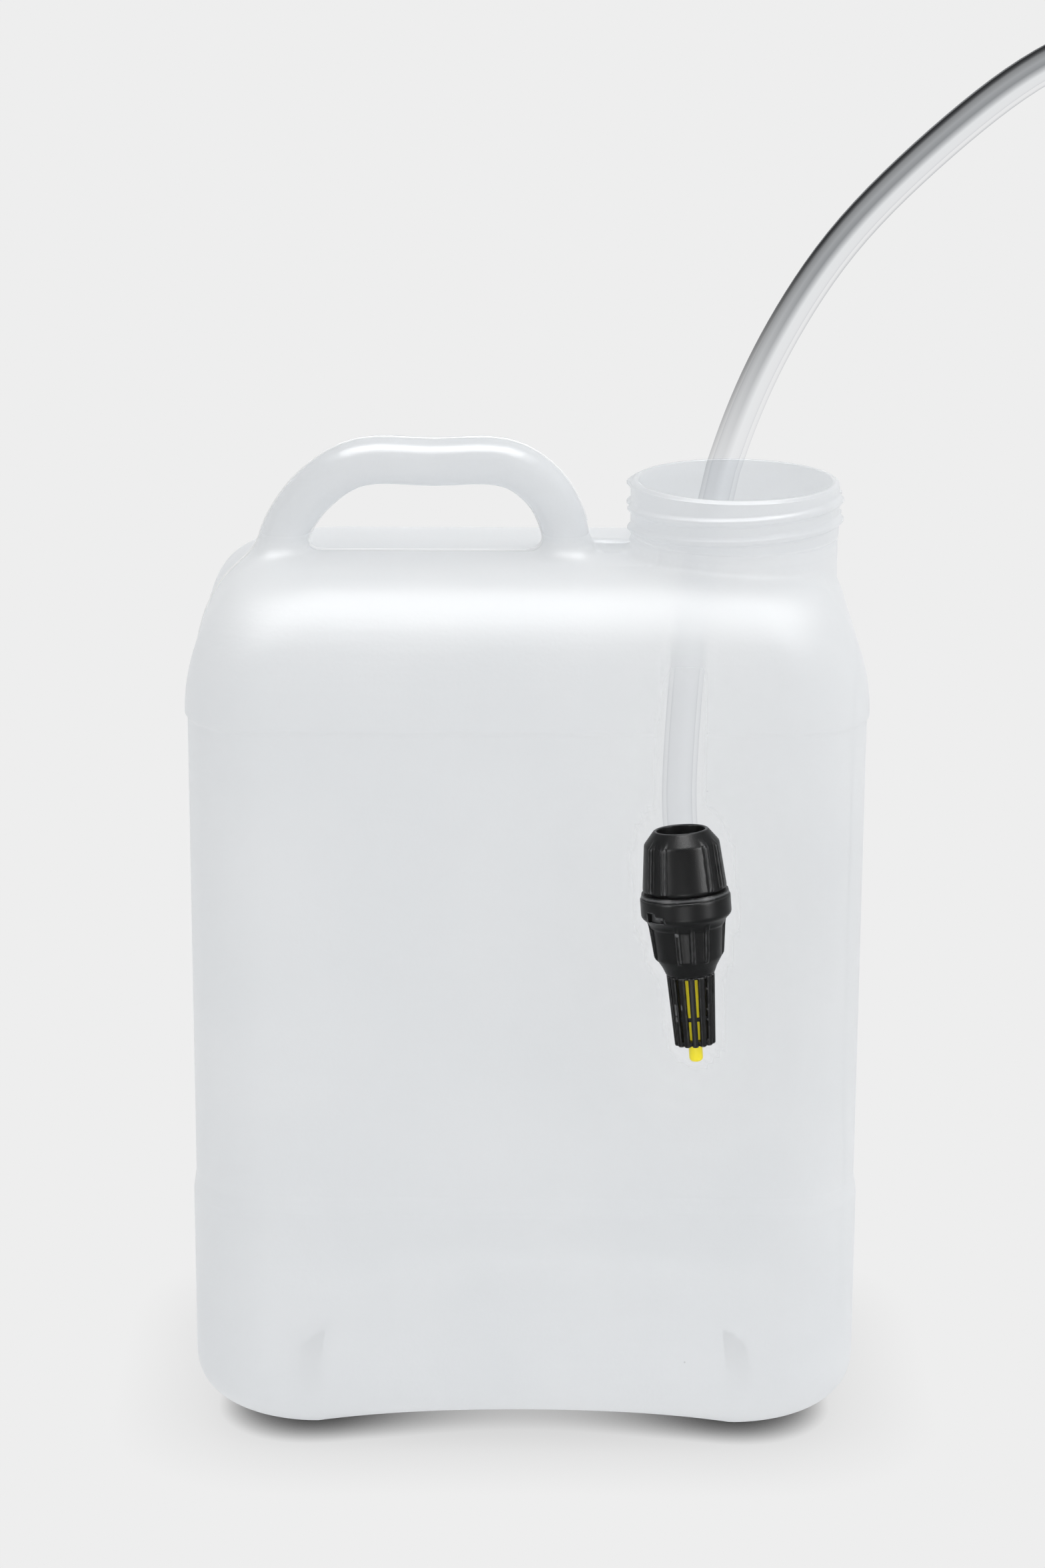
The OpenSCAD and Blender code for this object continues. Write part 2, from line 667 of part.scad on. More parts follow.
module return_spring() {
    top = pocket_top + spring_wire / 2 + run_gap;
    low = disc_top - spring_wire / 2 - run_gap;
    steps = spring_turns * 12;
    color("silver") hang_valve() solid_sweep(
        [for (i = [0:steps]) let (a = 360 * spring_turns * i / steps)
            [spring_d / 2 * cos(a), spring_d / 2 * sin(a), -top - (low - top) * i / steps]],
        spring_wire / 2, spring_wire / 2, 2, 6, [0, 0, 1]);
}

// ---------- pump coupling ----------

// Drawn along Z with the hose's end face at zero, then laid down along X.
module lay_coupling() {
    translate(coupling_axis) rotate([0, 90, 0]) children();
}

module pump_spigot() {
    back = coupling_start + coupling_back;
    color([0.11, 0.11, 0.12]) lay_coupling() difference() {
        union() {
            translate([0, 0, -spigot_l]) cylinder(h = spigot_l + 1, d1 = spigot_body_d - 1, d2 = spigot_body_d);
            cylinder(h = back + 1, d = spigot_neck_d);
            translate([0, 0, back + run_gap]) cylinder(h = spigot_flange_t, d = spigot_flange_d);
        }
        translate([0, 0, -spigot_l - cut]) cylinder(h = spigot_l + back + 4 * cut, d = spigot_bore);
    }
}

module coupling_nut() {
    recess = coupling_start + coupling_back;
    bevel = 1.5;
    color([0.11, 0.11, 0.12]) lay_coupling() difference() {
        translate([0, 0, coupling_start]) union() {
            cylinder(h = bevel, d1 = coupling_d - 2 * bevel, d2 = coupling_d);
            translate([0, 0, bevel]) cylinder(h = coupling_l - bevel, d = coupling_d);
        }
        translate([0, 0, coupling_start - cut])
            cylinder(h = coupling_back + 2 * cut, d = spigot_neck_d + 2 * run_gap);
        translate([0, 0, recess]) cylinder(h = washer_at + washer_t - recess, d = coupling_bore - 0.4);
        translate([0, 0, washer_at + washer_t]) cylinder(h = coupling_l, d = coupling_bore);
        for (k = [0:flutes - 1]) rotate([0, 0, 360 / flutes * k])
            translate([coupling_d / 2 + 0.6, 0, coupling_start + 2 * bevel])
                cylinder(h = coupling_l, d = 2 * bevel);
    }
}

module coupling_washer() {
    color("black") lay_coupling() difference() {
        translate([0, 0, washer_at]) cylinder(h = washer_t, d = spigot_flange_d);
        translate([0, 0, washer_at - cut]) cylinder(h = washer_t + 2 * cut, d = spigot_bore);
    }
}

module hose_clip() {
    at = -10;
    in_d = hose_d + 2 * run_gap;
    color("silver") lay_coupling() translate([0, 0, at]) difference() {
        union() {
            cylinder(h = clip_w, d = in_d + 2 * clip_t);
            translate([-in_d / 2 - 2.6, -2.5, 0]) cube([3, 5, clip_w]);
        }
        translate([0, 0, -cut]) cylinder(h = clip_w + 2 * cut, d = in_d);
    }
}

canister_body();
suction_hose();
hose_coil();
hose_tail();
coil_tie();
clamp_nut();
clamp_ring();
valve_head();
head_o_ring();
valve_housing();
strainer_basket();
valve_stem();
stem_seal();
return_spring();
pump_spigot();
coupling_nut();
coupling_washer();
hose_clip();
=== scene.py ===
# Detergent canister with its suction hose and foot valve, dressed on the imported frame.
# Lengths in the shape functions are millimetres; every mesh is written in metres.
import math

import bmesh
import bpy
import numpy as np
from mathutils import Matrix, Vector


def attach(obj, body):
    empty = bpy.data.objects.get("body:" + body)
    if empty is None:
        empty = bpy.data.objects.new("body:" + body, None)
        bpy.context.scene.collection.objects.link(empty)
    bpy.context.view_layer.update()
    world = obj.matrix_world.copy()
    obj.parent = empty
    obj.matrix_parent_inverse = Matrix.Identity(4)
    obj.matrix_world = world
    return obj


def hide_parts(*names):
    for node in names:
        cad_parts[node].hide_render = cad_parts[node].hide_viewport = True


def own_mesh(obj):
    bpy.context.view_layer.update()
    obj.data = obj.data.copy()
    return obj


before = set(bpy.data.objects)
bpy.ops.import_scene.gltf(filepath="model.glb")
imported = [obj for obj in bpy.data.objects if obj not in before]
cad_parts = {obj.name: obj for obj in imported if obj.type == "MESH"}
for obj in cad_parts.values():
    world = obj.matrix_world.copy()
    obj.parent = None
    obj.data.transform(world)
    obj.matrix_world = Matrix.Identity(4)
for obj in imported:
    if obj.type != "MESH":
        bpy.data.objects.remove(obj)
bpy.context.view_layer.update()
scene = bpy.context.scene
MM = 0.001


# ---- helpers

def link(obj):
    scene.collection.objects.link(obj)
    return obj


def mesh_piece(name, points, faces, material, body, sharp_degrees):
    """A piece from points in millimetres, smooth but for edges sharper than an angle."""
    mesh = bpy.data.meshes.new(name)
    mesh.from_pydata([tuple(p) for p in np.asarray(points) * MM], [], faces)
    mesh.validate()
    mesh.materials.append(material)
    mesh.polygons.foreach_set("use_smooth", [True] * len(mesh.polygons))
    mesh.set_sharp_from_angle(angle=math.radians(sharp_degrees))
    obj = link(bpy.data.objects.new(name, mesh))
    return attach(obj, body)


def smooth_path(points, steps):
    """Catmull-Rom curve through the points."""
    p = np.asarray(points, float)
    n = len(p)
    out = []
    for i in range(n - 1):
        a, b, c, d = p[max(0, i - 1)], p[i], p[i + 1], p[min(n - 1, i + 2)]
        for j in range(steps):
            t = j / steps
            out.append(0.5 * (2 * b + (c - a) * t + (2 * a - 5 * b + 4 * c - d) * t * t
                              + (3 * b - a - 3 * c + d) * t ** 3))
    out.append(p[-1])
    return np.array(out)


def rings_along(path, radius, sides):
    """Round rings across a path, turned as little as possible from ring to ring."""
    path = np.asarray(path, float)
    tangents = np.gradient(path, axis=0)
    tangents /= np.linalg.norm(tangents, axis=1)[:, None]
    side = np.cross(tangents[0], [0.0, 1.0, 0.0])
    side /= np.linalg.norm(side)
    angles = np.arange(sides) * 2 * math.pi / sides
    rings = []
    for centre, along in zip(path, tangents):
        side = side - along * side.dot(along)
        side /= np.linalg.norm(side)
        across = np.cross(along, side)
        rings.append(centre + radius * (np.outer(np.cos(angles), side)
                                        + np.outer(np.sin(angles), across)))
    return np.concatenate(rings)


def ring_faces(rows, sides, first=0, flip=False, closed=False):
    """Quads between rings of points; closed joins the last ring to the first."""
    faces = []
    for row in range(rows if closed else rows - 1):
        nxt = (row + 1) % rows
        for k in range(sides):
            a, b = first + row * sides + k, first + row * sides + (k + 1) % sides
            c, d = first + nxt * sides + (k + 1) % sides, first + nxt * sides + k
            faces.append((a, d, c, b) if flip else (a, b, c, d))
    return faces


def end_caps(rows, sides):
    """One flat face at each end of a stack of rings."""
    last = (rows - 1) * sides
    return [tuple(reversed(range(sides))), tuple(range(last, last + sides))]


# ---- camera

# Place in metres, turn up from straight down and roll in degrees, lens and sensor in mm.
CAMERA_AT, CAMERA_UP, CAMERA_ROLL = (-0.0019, -1.750, 0.802), 73.5, 0.25
LENS, SENSOR = 93.37, 36.0


def make_camera():
    data = bpy.data.cameras.new("camera")
    data.lens = LENS
    data.sensor_width = SENSOR
    data.clip_start = 0.05
    data.clip_end = 30.0
    camera = link(bpy.data.objects.new("camera", data))
    camera.matrix_world = (
        Matrix.Translation(CAMERA_AT)
        @ Matrix.Rotation(math.radians(CAMERA_UP), 4, "X")
        @ Matrix.Rotation(math.radians(CAMERA_ROLL), 4, "Z")
    )
    scene.camera = camera


make_camera()


# ---- canister

# The body, the roundings of its wall, shoulder and foot, and the arch between its feet.
BODY_W, BODY_D, DECK_H = 295.0, 192.0, 391.0
CORNER_R, DECK_CORNER_R, SHOULDER_R, SHOULDER_SIDE = 35.0, 38.0, 56.0, 36.0
FOOT_R, FOOT_SIDE, FOOT_DEEP = 38.0, 40.0, 48.0
ARCH_RISE, ARCH_HALF = 9.3, 93.0
# Between two steps the wall is set in as a panel: their heights, and how far in it is.
PANEL_LOW, PANEL_LOW_STEP, PANEL_TOP, PANEL_TOP_STEP = 123.0, 8.0, 332.6, 2.0
PANEL_IN = 1.2
NECK_X, NECK_R, BORE_R, RIM_H = 91.0, 45.9, 42.5, 423.5
# The collar under the thread, and the height to which the field fills the neck.
COLLAR_R, COLLAR_TOP, NECK_SOLID_TOP = 45.5, 399.0, 430
# The thread's beads: outer radius, pitch, first depth, full half height and slope.
THREAD_R, THREAD_PITCH, THREAD_START = 48.0, 8.6, 9.2
BEAD_HALF, BEAD_SLOPE = 2.4, 1.7
# The upright web between the handle and the neck.
WEB_T, WEB_TOP, WEB_FROM, WEB_TO = 7.0, 396.5, 14, 47
# The handle's middle line in x and z; half sizes, their mean, and how square its section is.
HANDLE = [
    (-117, 363), (-111, 385), (-106, 402), (-93, 419.5), (-73, 431), (-42, 431),
    (-11, 431), (7, 420), (16, 403), (18, 385), (19, 367),
]
GRIP_HIGH, GRIP_DEEP, GRIP_MEAN, GRIP_POWER = 10, 15, 11, 2.6
# How softly the handle, the neck and the web run into the body, and where they begin.
HANDLE_BLEND, NECK_BLEND, WEB_BLEND, PARTS_FROM = 9, 5, 1.6, 340
# The wall's thickness, its gain near the neck between two heights, and the web's two skins.
WALL_T, NECK_MORE, NECK_NEAR, NECK_FADE, WEB_SKIN = 2.0, 1.0, 50, (388, 397), 0.6
# The room that is meshed, the grid's step, and how far round a panel step faces are cut.
NET_LOW, NET_TOP = (-151, -99, -3), (151, 99, 446)
NET_STEP, NET_STEP_QUICK, CUT_NEAR = 2.6, 4.0, 8


def ease(value, low, high):
    """A smooth step from 0 to 1."""
    t = np.clip((value - low) / (high - low), 0, 1)
    return t * t * (3 - 2 * t)


def smooth_min(a, b, k):
    """The smaller of two fields, rounded over a width where they meet."""
    h = np.clip(0.5 + 0.5 * (b - a) / k, 0, 1)
    return b + (a - b) * h - k * h * (1 - h)


def along_segment(x, z, start, end):
    """How far along a segment each point lies, from 0 to 1, and its distance from it."""
    (ax, az), (bx, bz) = start, end
    dx, dz = bx - ax, bz - az
    t = np.clip(((x - ax) * dx + (z - az) * dz) / (dx * dx + dz * dz), 0, 1)
    return t, np.hypot(x - ax - t * dx, z - az - t * dz)


def outline_share(x, y, grow, r_core):
    """How far out a point lies: 0 on a rounded rectangle inside the body's outline, 1 on it."""
    core_x, core_y = BODY_W / 2 - grow[0], BODY_D / 2 - grow[1]
    flat = np.maximum((x - core_x) / grow[0], (y - core_y) / grow[1])
    r_grow = CORNER_R - r_core
    cx, cy = core_x - r_core, core_y - r_core
    gx, gy = grow[0] - r_grow, grow[1] - r_grow
    a = gx * gx + gy * gy - r_grow * r_grow
    b = -2 * (gx * (x - cx) + gy * (y - cy)) - 2 * r_core * r_grow
    c = (x - cx) ** 2 + (y - cy) ** 2 - r_core * r_core
    disc = np.maximum(b * b - 4 * a * c, 0)
    share = (-b - np.sqrt(disc)) / (2 * a)
    in_corner = (x > cx + gx * share) & (y > cy + gy * share) & (b * b > 4 * a * c)
    return np.maximum(np.where(in_corner, share, flat), 0)


def body_field(x, y, z):
    """The body alone: wall, shoulder and foot, with the arch lifted out under it."""
    x, y = np.abs(x), np.abs(y)
    level = z
    for _ in range(3):
        u = np.minimum(1, x / ARCH_HALF)
        v = np.clip(1 - level / FOOT_R, 0, 1)
        level = z - ARCH_RISE * (1 - u * u) * v * v
    inset = PANEL_IN * (np.clip((level - PANEL_LOW) / PANEL_LOW_STEP + 1, 0, 1)
                        - np.clip((level - PANEL_TOP) / PANEL_TOP_STEP, 0, 1))
    qx, qy = x - (BODY_W / 2 - CORNER_R), y - (BODY_D / 2 - CORNER_R)
    wall = (np.hypot(np.maximum(qx, 0), np.maximum(qy, 0))
            + np.minimum(np.maximum(qx, qy), 0) - CORNER_R + inset)
    top_share = outline_share(x, y, (SHOULDER_SIDE, SHOULDER_R), DECK_CORNER_R)
    low_share = outline_share(x, y, (FOOT_SIDE, FOOT_DEEP), CORNER_R)
    spring = DECK_H - SHOULDER_R
    top = SHOULDER_R * (np.hypot(top_share, np.maximum(level - spring, 0) / SHOULDER_R) - 1)
    low = FOOT_R * (np.hypot(low_share, np.maximum(FOOT_R - level, 0) / FOOT_R) - 1)
    return np.where(level > spring, top, np.where(level < FOOT_R, low, wall))


HANDLE_PATH = smooth_path(HANDLE, 4)


def handle_field(x, y, z):
    """Below zero inside the grip, a flattened bar along the handle's line."""
    near = np.full(x.shape, 1e9)
    for start, end in zip(HANDLE_PATH[:-1], HANDLE_PATH[1:]):
        near = np.minimum(near, along_segment(x, z, start, end)[1])
    share = (near / GRIP_HIGH) ** GRIP_POWER + (np.abs(y) / GRIP_DEEP) ** GRIP_POWER
    return GRIP_MEAN * (share ** (1 / GRIP_POWER) - 1)


def shell_field(p):
    """Below zero inside the blown shape, in about millimetres."""
    x, y, z = p[:, 0], p[:, 1], p[:, 2]
    field = body_field(x, y, z)
    near = z > PARTS_FROM
    x, y, z = x[near], y[near], z[near]
    neck = np.maximum(np.hypot(x - NECK_X, y) - COLLAR_R, z - NECK_SOLID_TOP)
    web = np.maximum(np.maximum(np.abs(y) - WEB_T / 2, z - WEB_TOP),
                     np.maximum(WEB_FROM - x, x - WEB_TO))
    top = smooth_min(field[near], handle_field(x, y, z), HANDLE_BLEND)
    top = smooth_min(top, neck, NECK_BLEND)
    field[near] = smooth_min(top, web, WEB_BLEND)
    return field


def gradient(field, p, step=0.2):
    """The field's slope at each point."""
    out = np.empty_like(p)
    for axis in range(3):
        shift = np.zeros(3)
        shift[axis] = step
        out[:, axis] = (field(p + shift) - field(p - shift)) / (2 * step)
    return out


def settle(field, p, rounds, step=0.2, most=1.5):
    """Moves points onto the surface, each by no more than a set length."""
    for _ in range(rounds):
        g = gradient(field, p, step)
        size = np.maximum((g * g).sum(1), 1e-4)
        move = g * (field(p) / size)[:, None]
        length = np.linalg.norm(move, axis=1)[:, None]
        p = p - move * np.minimum(1, most / np.maximum(length, 1e-9))
    return p


def surface_net(field, low, high, step):
    """Quads where the field changes sign on a regular grid."""
    axes = [np.arange(low[i], high[i] + step, step) for i in range(3)]
    shape = tuple(len(a) for a in axes)
    grid = np.stack(np.meshgrid(*axes, indexing="ij"), -1).reshape(-1, 3)
    value = field(grid).reshape(shape)
    inside = value < 0
    cells = tuple(n - 1 for n in shape)
    total = np.zeros(cells + (3,))
    count = np.zeros(cells)
    for axis in range(3):
        other = [i for i in range(3) if i != axis]
        a = np.moveaxis(value, axis, 0)
        change = (a[:-1] < 0) != (a[1:] < 0)
        share = np.where(change, a[:-1] / np.where(change, a[:-1] - a[1:], 1), 0)
        for i in range(2):
            for j in range(2):
                cut = (slice(None), slice(i, i + cells[other[0]]), slice(j, j + cells[other[1]]))
                hit = np.moveaxis(change[cut], 0, axis)
                at = np.moveaxis(share[cut], 0, axis)
                count += hit
                total[..., axis] += at
                total[..., other[0]] += hit * i
                total[..., other[1]] += hit * j
    used = count > 0
    number = np.full(cells, -1)
    number[used] = np.arange(used.sum())
    where = np.argwhere(used)
    points = (where + total[used] / count[used][:, None]) * step + np.array(low)
    faces = []
    for axis in range(3):
        b, c = (axis + 1) % 3, (axis + 2) % 3
        a = np.moveaxis(inside, (axis, b, c), (0, 1, 2))
        ids = np.moveaxis(number, (axis, b, c), (0, 1, 2))
        at = np.argwhere((a[:-1] != a[1:])[:, 1:-1, 1:-1])
        i, j, k = at[:, 0], at[:, 1] + 1, at[:, 2] + 1
        quad = np.stack([ids[i, j - 1, k - 1], ids[i, j, k - 1], ids[i, j, k],
                         ids[i, j - 1, k]], 1)
        out = a[i, j, k]
        faces.append(np.where(out[:, None], quad, quad[:, ::-1]))
    return points, np.concatenate(faces)


def neck_bead(angle, z):
    """How far the thread stands out at angles round the neck and one height."""
    x, y = THREAD_R * np.cos(angle), np.sin(angle)
    lean = THREAD_PITCH / 4 / THREAD_R
    out = np.zeros(len(angle))
    edge = np.degrees(np.arccos(np.clip(np.abs(np.cos(angle)), 0, 1)))
    fade = ease(edge, 2.5, 7.0)
    for turn in range(2):
        for front in (True, False):
            depth = THREAD_START + (turn if front else turn - 0.5) * THREAD_PITCH
            centre = RIM_H - depth + (lean if front else -lean) * x
            side = (y < 0) if front else (y >= 0)
            bead = np.clip((BEAD_HALF - np.abs(z - centre)) / BEAD_SLOPE, 0, 1)
            bead = 0.35 * ease(bead, 0, 1) + 0.65 * bead
            out = np.maximum(out, (THREAD_R - NECK_R) * bead * fade * side)
    return out


def neck_profile():
    """Height and radius up the outside, None at the thread, over the rim and down the bore."""
    rows = [(z, None) for z in np.arange(COLLAR_TOP + 0.4, RIM_H - 1.3, 0.4)]
    rows += [(RIM_H - 1.2, NECK_R - 0.25), (RIM_H - 0.6, NECK_R - 0.7),
             (RIM_H - 0.15, NECK_R - 1.3), (RIM_H, NECK_R - 1.5),
             (RIM_H, BORE_R + 0.5), (RIM_H - 0.3, BORE_R + 0.1), (RIM_H - 0.9, BORE_R)]
    rows += [(z, BORE_R) for z in np.linspace(RIM_H - 4, COLLAR_TOP + 0.5, 7)]
    return rows


def wall_thickness(p):
    """How far the inner skin lies inside each point of the outer wall."""
    thick = np.full(len(p), WALL_T)
    away = np.hypot(p[:, 0] - NECK_X, p[:, 1])
    thick += NECK_MORE * ease(p[:, 2], *NECK_FADE) * (away < NECK_NEAR)
    web = (p[:, 0] > WEB_FROM - 1) & (p[:, 0] < WEB_TO - 1) & (p[:, 2] > DECK_H - 1)
    thick[web & (np.abs(p[:, 1]) < WEB_T / 2 + 1.5)] = WEB_SKIN
    return thick


def cut_shell(points, faces):
    """Opens the net at the neck and gives it clean rows along the panel's steps."""
    bm = bmesh.new()
    verts = [bm.verts.new(p) for p in points]
    for face in faces:
        bm.faces.new([verts[i] for i in face])
    bm.normal_update()

    def cut(height, pick, clear=False):
        chosen = [f for f in bm.faces if pick(f.calc_center_median())]
        corners = dict.fromkeys(v for f in chosen for v in f.verts)
        edges = dict.fromkeys(e for f in chosen for e in f.edges)
        bmesh.ops.bisect_plane(bm, geom=[*corners, *edges, *chosen], plane_co=(0, 0, height),
                               plane_no=(0, 0, 1), clear_outer=clear, dist=1e-5)

    def at_neck(c):
        return c.z > COLLAR_TOP - CUT_NEAR and math.hypot(c.x - NECK_X, c.y) < COLLAR_R + 1.5

    cut(COLLAR_TOP, at_neck, clear=True)
    for z in (PANEL_LOW - PANEL_LOW_STEP, PANEL_LOW, PANEL_TOP, PANEL_TOP + PANEL_TOP_STEP):
        for off in (-0.6, 0, 0.6):
            cut(z + off, lambda c: abs(c.z - z) < CUT_NEAR)
    bm.verts.index_update()
    points = np.array([v.co for v in bm.verts])
    rim = np.array([v.index for v in bm.verts if v.is_boundary])
    polys = [[v.index for v in f.verts] for f in bm.faces]
    bm.free()
    return points, rim, polys


def canister_mesh(step):
    """Outer wall, then inner skin, then the threaded neck that joins them round the rim."""
    points, faces = surface_net(shell_field, NET_LOW, NET_TOP, step)
    points, rim, polys = cut_shell(settle(shell_field, points, 4), faces)
    points = settle(shell_field, points, 2)
    away = points[rim, :2] - [NECK_X, 0]
    away *= (COLLAR_R / np.linalg.norm(away, axis=1))[:, None]
    points[rim, :2] = away + [NECK_X, 0]
    points[rim, 2] = COLLAR_TOP
    order = rim[np.argsort(np.arctan2(away[:, 1], away[:, 0]))]
    angle = np.arctan2(points[order, 1], points[order, 0] - NECK_X)
    normal = gradient(shell_field, points)
    normal /= np.maximum(np.linalg.norm(normal, axis=1), 1e-6)[:, None]
    inner = points - normal * wall_thickness(points)[:, None]
    inner[order, 2] = COLLAR_TOP
    inner[order, 0] = NECK_X + BORE_R * np.cos(angle)
    inner[order, 1] = BORE_R * np.sin(angle)
    count, ring = len(points), len(order)
    all_points = [points, inner]
    loops = [order]
    base = 2 * count
    for z, radius in neck_profile():
        if radius is None:
            swell = ease(z, COLLAR_TOP, COLLAR_TOP + 1.2) * (NECK_R - COLLAR_R)
            radius = COLLAR_R + swell + neck_bead(angle, z)
        all_points.append(np.stack([NECK_X + radius * np.cos(angle), radius * np.sin(angle),
                                    np.full(ring, z)], 1))
        loops.append(base + np.arange(ring))
        base += ring
    loops.append(order + count)
    polys += [[i + count for i in reversed(poly)] for poly in polys]
    for low, high in zip(loops[:-1], loops[1:]):
        for k in range(ring):
            n = (k + 1) % ring
            polys.append([low[k], low[n], high[n], high[k]])
    return np.concatenate(all_points), [[int(i) for i in poly] for poly in polys], count


# How much straight sight each part of the wall lets through, from 0 to 1.
SIGHT_WALL, SIGHT_SKIN, SIGHT_NECK, SIGHT_GRIP = 0.28, 0.96, 0.3, 0.1
SIGHT_VEIL, SIGHT_CLEAR = 0.64, 0.996
# The clearer strip of the front wall before the hose and the valve: x, z and half width,
# with the widths over which it and the veil round it fade.
CLEAR_LINE = [(68, 372, 7), (65.5, 337, 8.5), (65.2, 300, 8.8), (65.8, 286, 18),
              (66.6, 278, 20.3), (68.7, 252, 20.3), (70, 238, 17), (70.7, 228, 12),
              (73.3, 197, 10.3), (74, 190, 5)]
CLEAR_EDGE, VEIL_EDGE = 2.4, 42.0
# Heights over which the shares change: up to the handle, up from the foot, out at the top.
GRIP_FADE, FOOT_FADE, VEIL_FADE, CLEAR_FADE = (392, 402), (15, 100), (335, 395), (345, 376)


def clear_distance(points):
    """How far points of the front wall lie outside the clearer strip."""
    x, z = points[:, 0], points[:, 2]
    away = np.full(len(points), 1e3)
    for (ax, az, aw), (bx, bz, bw) in zip(CLEAR_LINE[:-1], CLEAR_LINE[1:]):
        t, reach = along_segment(x, z, (ax, az), (bx, bz))
        away = np.minimum(away, reach - (aw + t * (bw - aw)))
    return np.where(points[:, 1] < -30, away, 1e3)


def sight_values(points, outer_count):
    """See-through share of each point: outer wall first, then inner skin, then neck."""
    sight = np.full(len(points), SIGHT_NECK)
    outer = points[:outer_count]
    away, z = clear_distance(outer), outer[:, 2]
    wall = SIGHT_WALL + (SIGHT_GRIP - SIGHT_WALL) * ease(z, *GRIP_FADE)
    wall *= ease(z, *FOOT_FADE)
    veil = (1 - ease(away, 0, VEIL_EDGE)) * (1 - 0.8 * ease(z, *VEIL_FADE))
    wall += (SIGHT_VEIL - wall) * veil
    clear = (1 - ease(away, 0, CLEAR_EDGE)) * (1 - ease(z, *CLEAR_FADE))
    wall += (SIGHT_CLEAR - wall) * clear
    sight[:outer_count] = wall
    sight[outer_count:2 * outer_count] = SIGHT_SKIN + (1 - SIGHT_SKIN) * clear
    return sight


def make_canister(material, inside):
    """The blown shell: its inner skin has a material of its own."""
    points, faces, outer_count = canister_mesh(NET_STEP)
    shell = mesh_piece("canister", points, faces, material, "root", 50)
    shell.data.materials.append(inside)
    for face in shell.data.polygons:
        ends = [v for v in face.vertices if outer_count <= v < 2 * outer_count]
        face.material_index = int(len(ends) == len(face.vertices))
    layer = shell.data.attributes.new("sight", "FLOAT", "POINT")
    layer.data.foreach_set("value", sight_values(points, outer_count).astype(np.float32))
    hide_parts("canister_body")


# Parting lines of the mould in the middle plane: centre of sight, first and last direction
# in degrees, first and last radius tried, number of points, and the bead's own radius.
SEAMS = {
    "seam_left": ((-45, 300), (250, 56), (300, 60), 330, 0.62),
    "seam_right": ((0, 200), (46, -56), (300, 60), 170, 0.62),
    "seam_hole": ((-46, 408), (0, 360), (0, 90), 120, 0.85),
}
SEAM_SIDES, SEAM_TRY = 8, 0.5


def trace_seam(centre, directions, radii, count):
    """Where rays in the middle plane first meet the blown shape."""
    turn = np.radians(np.linspace(*directions, count))[:, None]
    step = SEAM_TRY if radii[1] > radii[0] else -SEAM_TRY
    reach = np.arange(*radii, step)[None, :]
    x, z = centre[0] + reach * np.cos(turn), centre[1] + reach * np.sin(turn)
    flat = np.stack([x.ravel(), np.zeros(x.size), z.ravel()], 1)
    first = (shell_field(flat).reshape(x.shape) < 0).argmax(1)
    rows = np.arange(count)
    path = np.stack([x[rows, first], np.zeros(count), z[rows, first]], 1)
    return settle(shell_field, path, 4)


def make_seams(material):
    for name, (centre, directions, radii, count, size) in SEAMS.items():
        points = rings_along(trace_seam(centre, directions, radii, count), size, SEAM_SIDES)
        if directions[1] - directions[0] == 360:
            points = points[:-SEAM_SIDES]
            faces = ring_faces(count - 1, SEAM_SIDES, closed=True)
        else:
            faces = ring_faces(count, SEAM_SIDES) + end_caps(count, SEAM_SIDES)
        mesh_piece(name, points, faces, material, "root", 60)


# ---- hose

HOSE_D, HOSE_BORE, HOSE_SIDES = 15.0, 11.0, 32
COIL_AT, COIL_R, COIL_TURNS = (364.0, 0.0), 82.5, 1.5
# Heights of the coil's upper and lower layer, and the turns between which it drops.
COIL_TOP, COIL_LOW, COIL_DROP = 22.5, 7.5, (0.56, 0.96)
# Above this height the hose hangs free, and its line is evened out in a number of rounds.
FREE_FROM, FREE_ROUNDS = 440, 14
HOSE_ROUTE = [
    (69, -41.6, 260.2), (68.3, -40.8, 268.1), (67.8, -40, 275.1), (67.2, -39.2, 283),
    (67, -37.7, 296), (68, -35.7, 320), (70, -33.2, 348), (72.9, -31.2, 375),
    (76.2, -31, 400), (81, -32.8, 422), (86.5, -34.5, 446), (97.5, -38, 476),
    (110, -42, 502), (130, -48, 536), (158, -55, 567), (190, -62, 597),
    (215, -66, 615), (252, -70, 631), (292, -73, 636), (331, -75, 631),
    (367, -77, 616), (398, -79, 592), (422, -80, 561), (437, -81, 525),
    (444, -83, 486), (447, -84, 420), (449, -84.5, 340), (449, -84.5, 260),
    (447, -84, 180), (443, -83, 115), (437, -82.5, 80), (423, -82.5, 51),
    (403, -82.5, 32), (384, -82.5, 24), (364, -82.5, 22.5),
]
TAIL_ROUTE = [
    (364, 82.5, 7.5), (382, 82.5, 7.5), (400, 82.5, 7.5), (410, 82.5, 8.4),
    (420, 82.5, 10.6), (430, 82.5, 12.6), (440, 82.5, 13.2), (452, 82.5, 13.2),
    (466, 82.5, 13.2),
]


def coil_points(per_turn=48):
    """One and a half turns, clockwise from above, dropping one layer on the right side."""
    points = []
    for i in range(1, int(COIL_TURNS * per_turn)):
        turn = i / per_turn
        angle = math.radians(-90 - 360 * turn)
        points.append((COIL_AT[0] + COIL_R * math.cos(angle),
                       COIL_AT[1] + COIL_R * math.sin(angle),
                       COIL_TOP - (COIL_TOP - COIL_LOW) * ease(turn, *COIL_DROP)))
    return points


def hose_path():
    """The hose's middle line, its free arch evened out by less than a millimetre."""
    path = np.concatenate([smooth_path(HOSE_ROUTE, 5), coil_points(),
                           smooth_path(TAIL_ROUTE, 4)])
    free = (path[1:-1, 2] > FREE_FROM)[:, None]
    for _ in range(FREE_ROUNDS):
        path[1:-1] += free * 0.25 * (path[:-2] - 2 * path[1:-1] + path[2:])
    return path


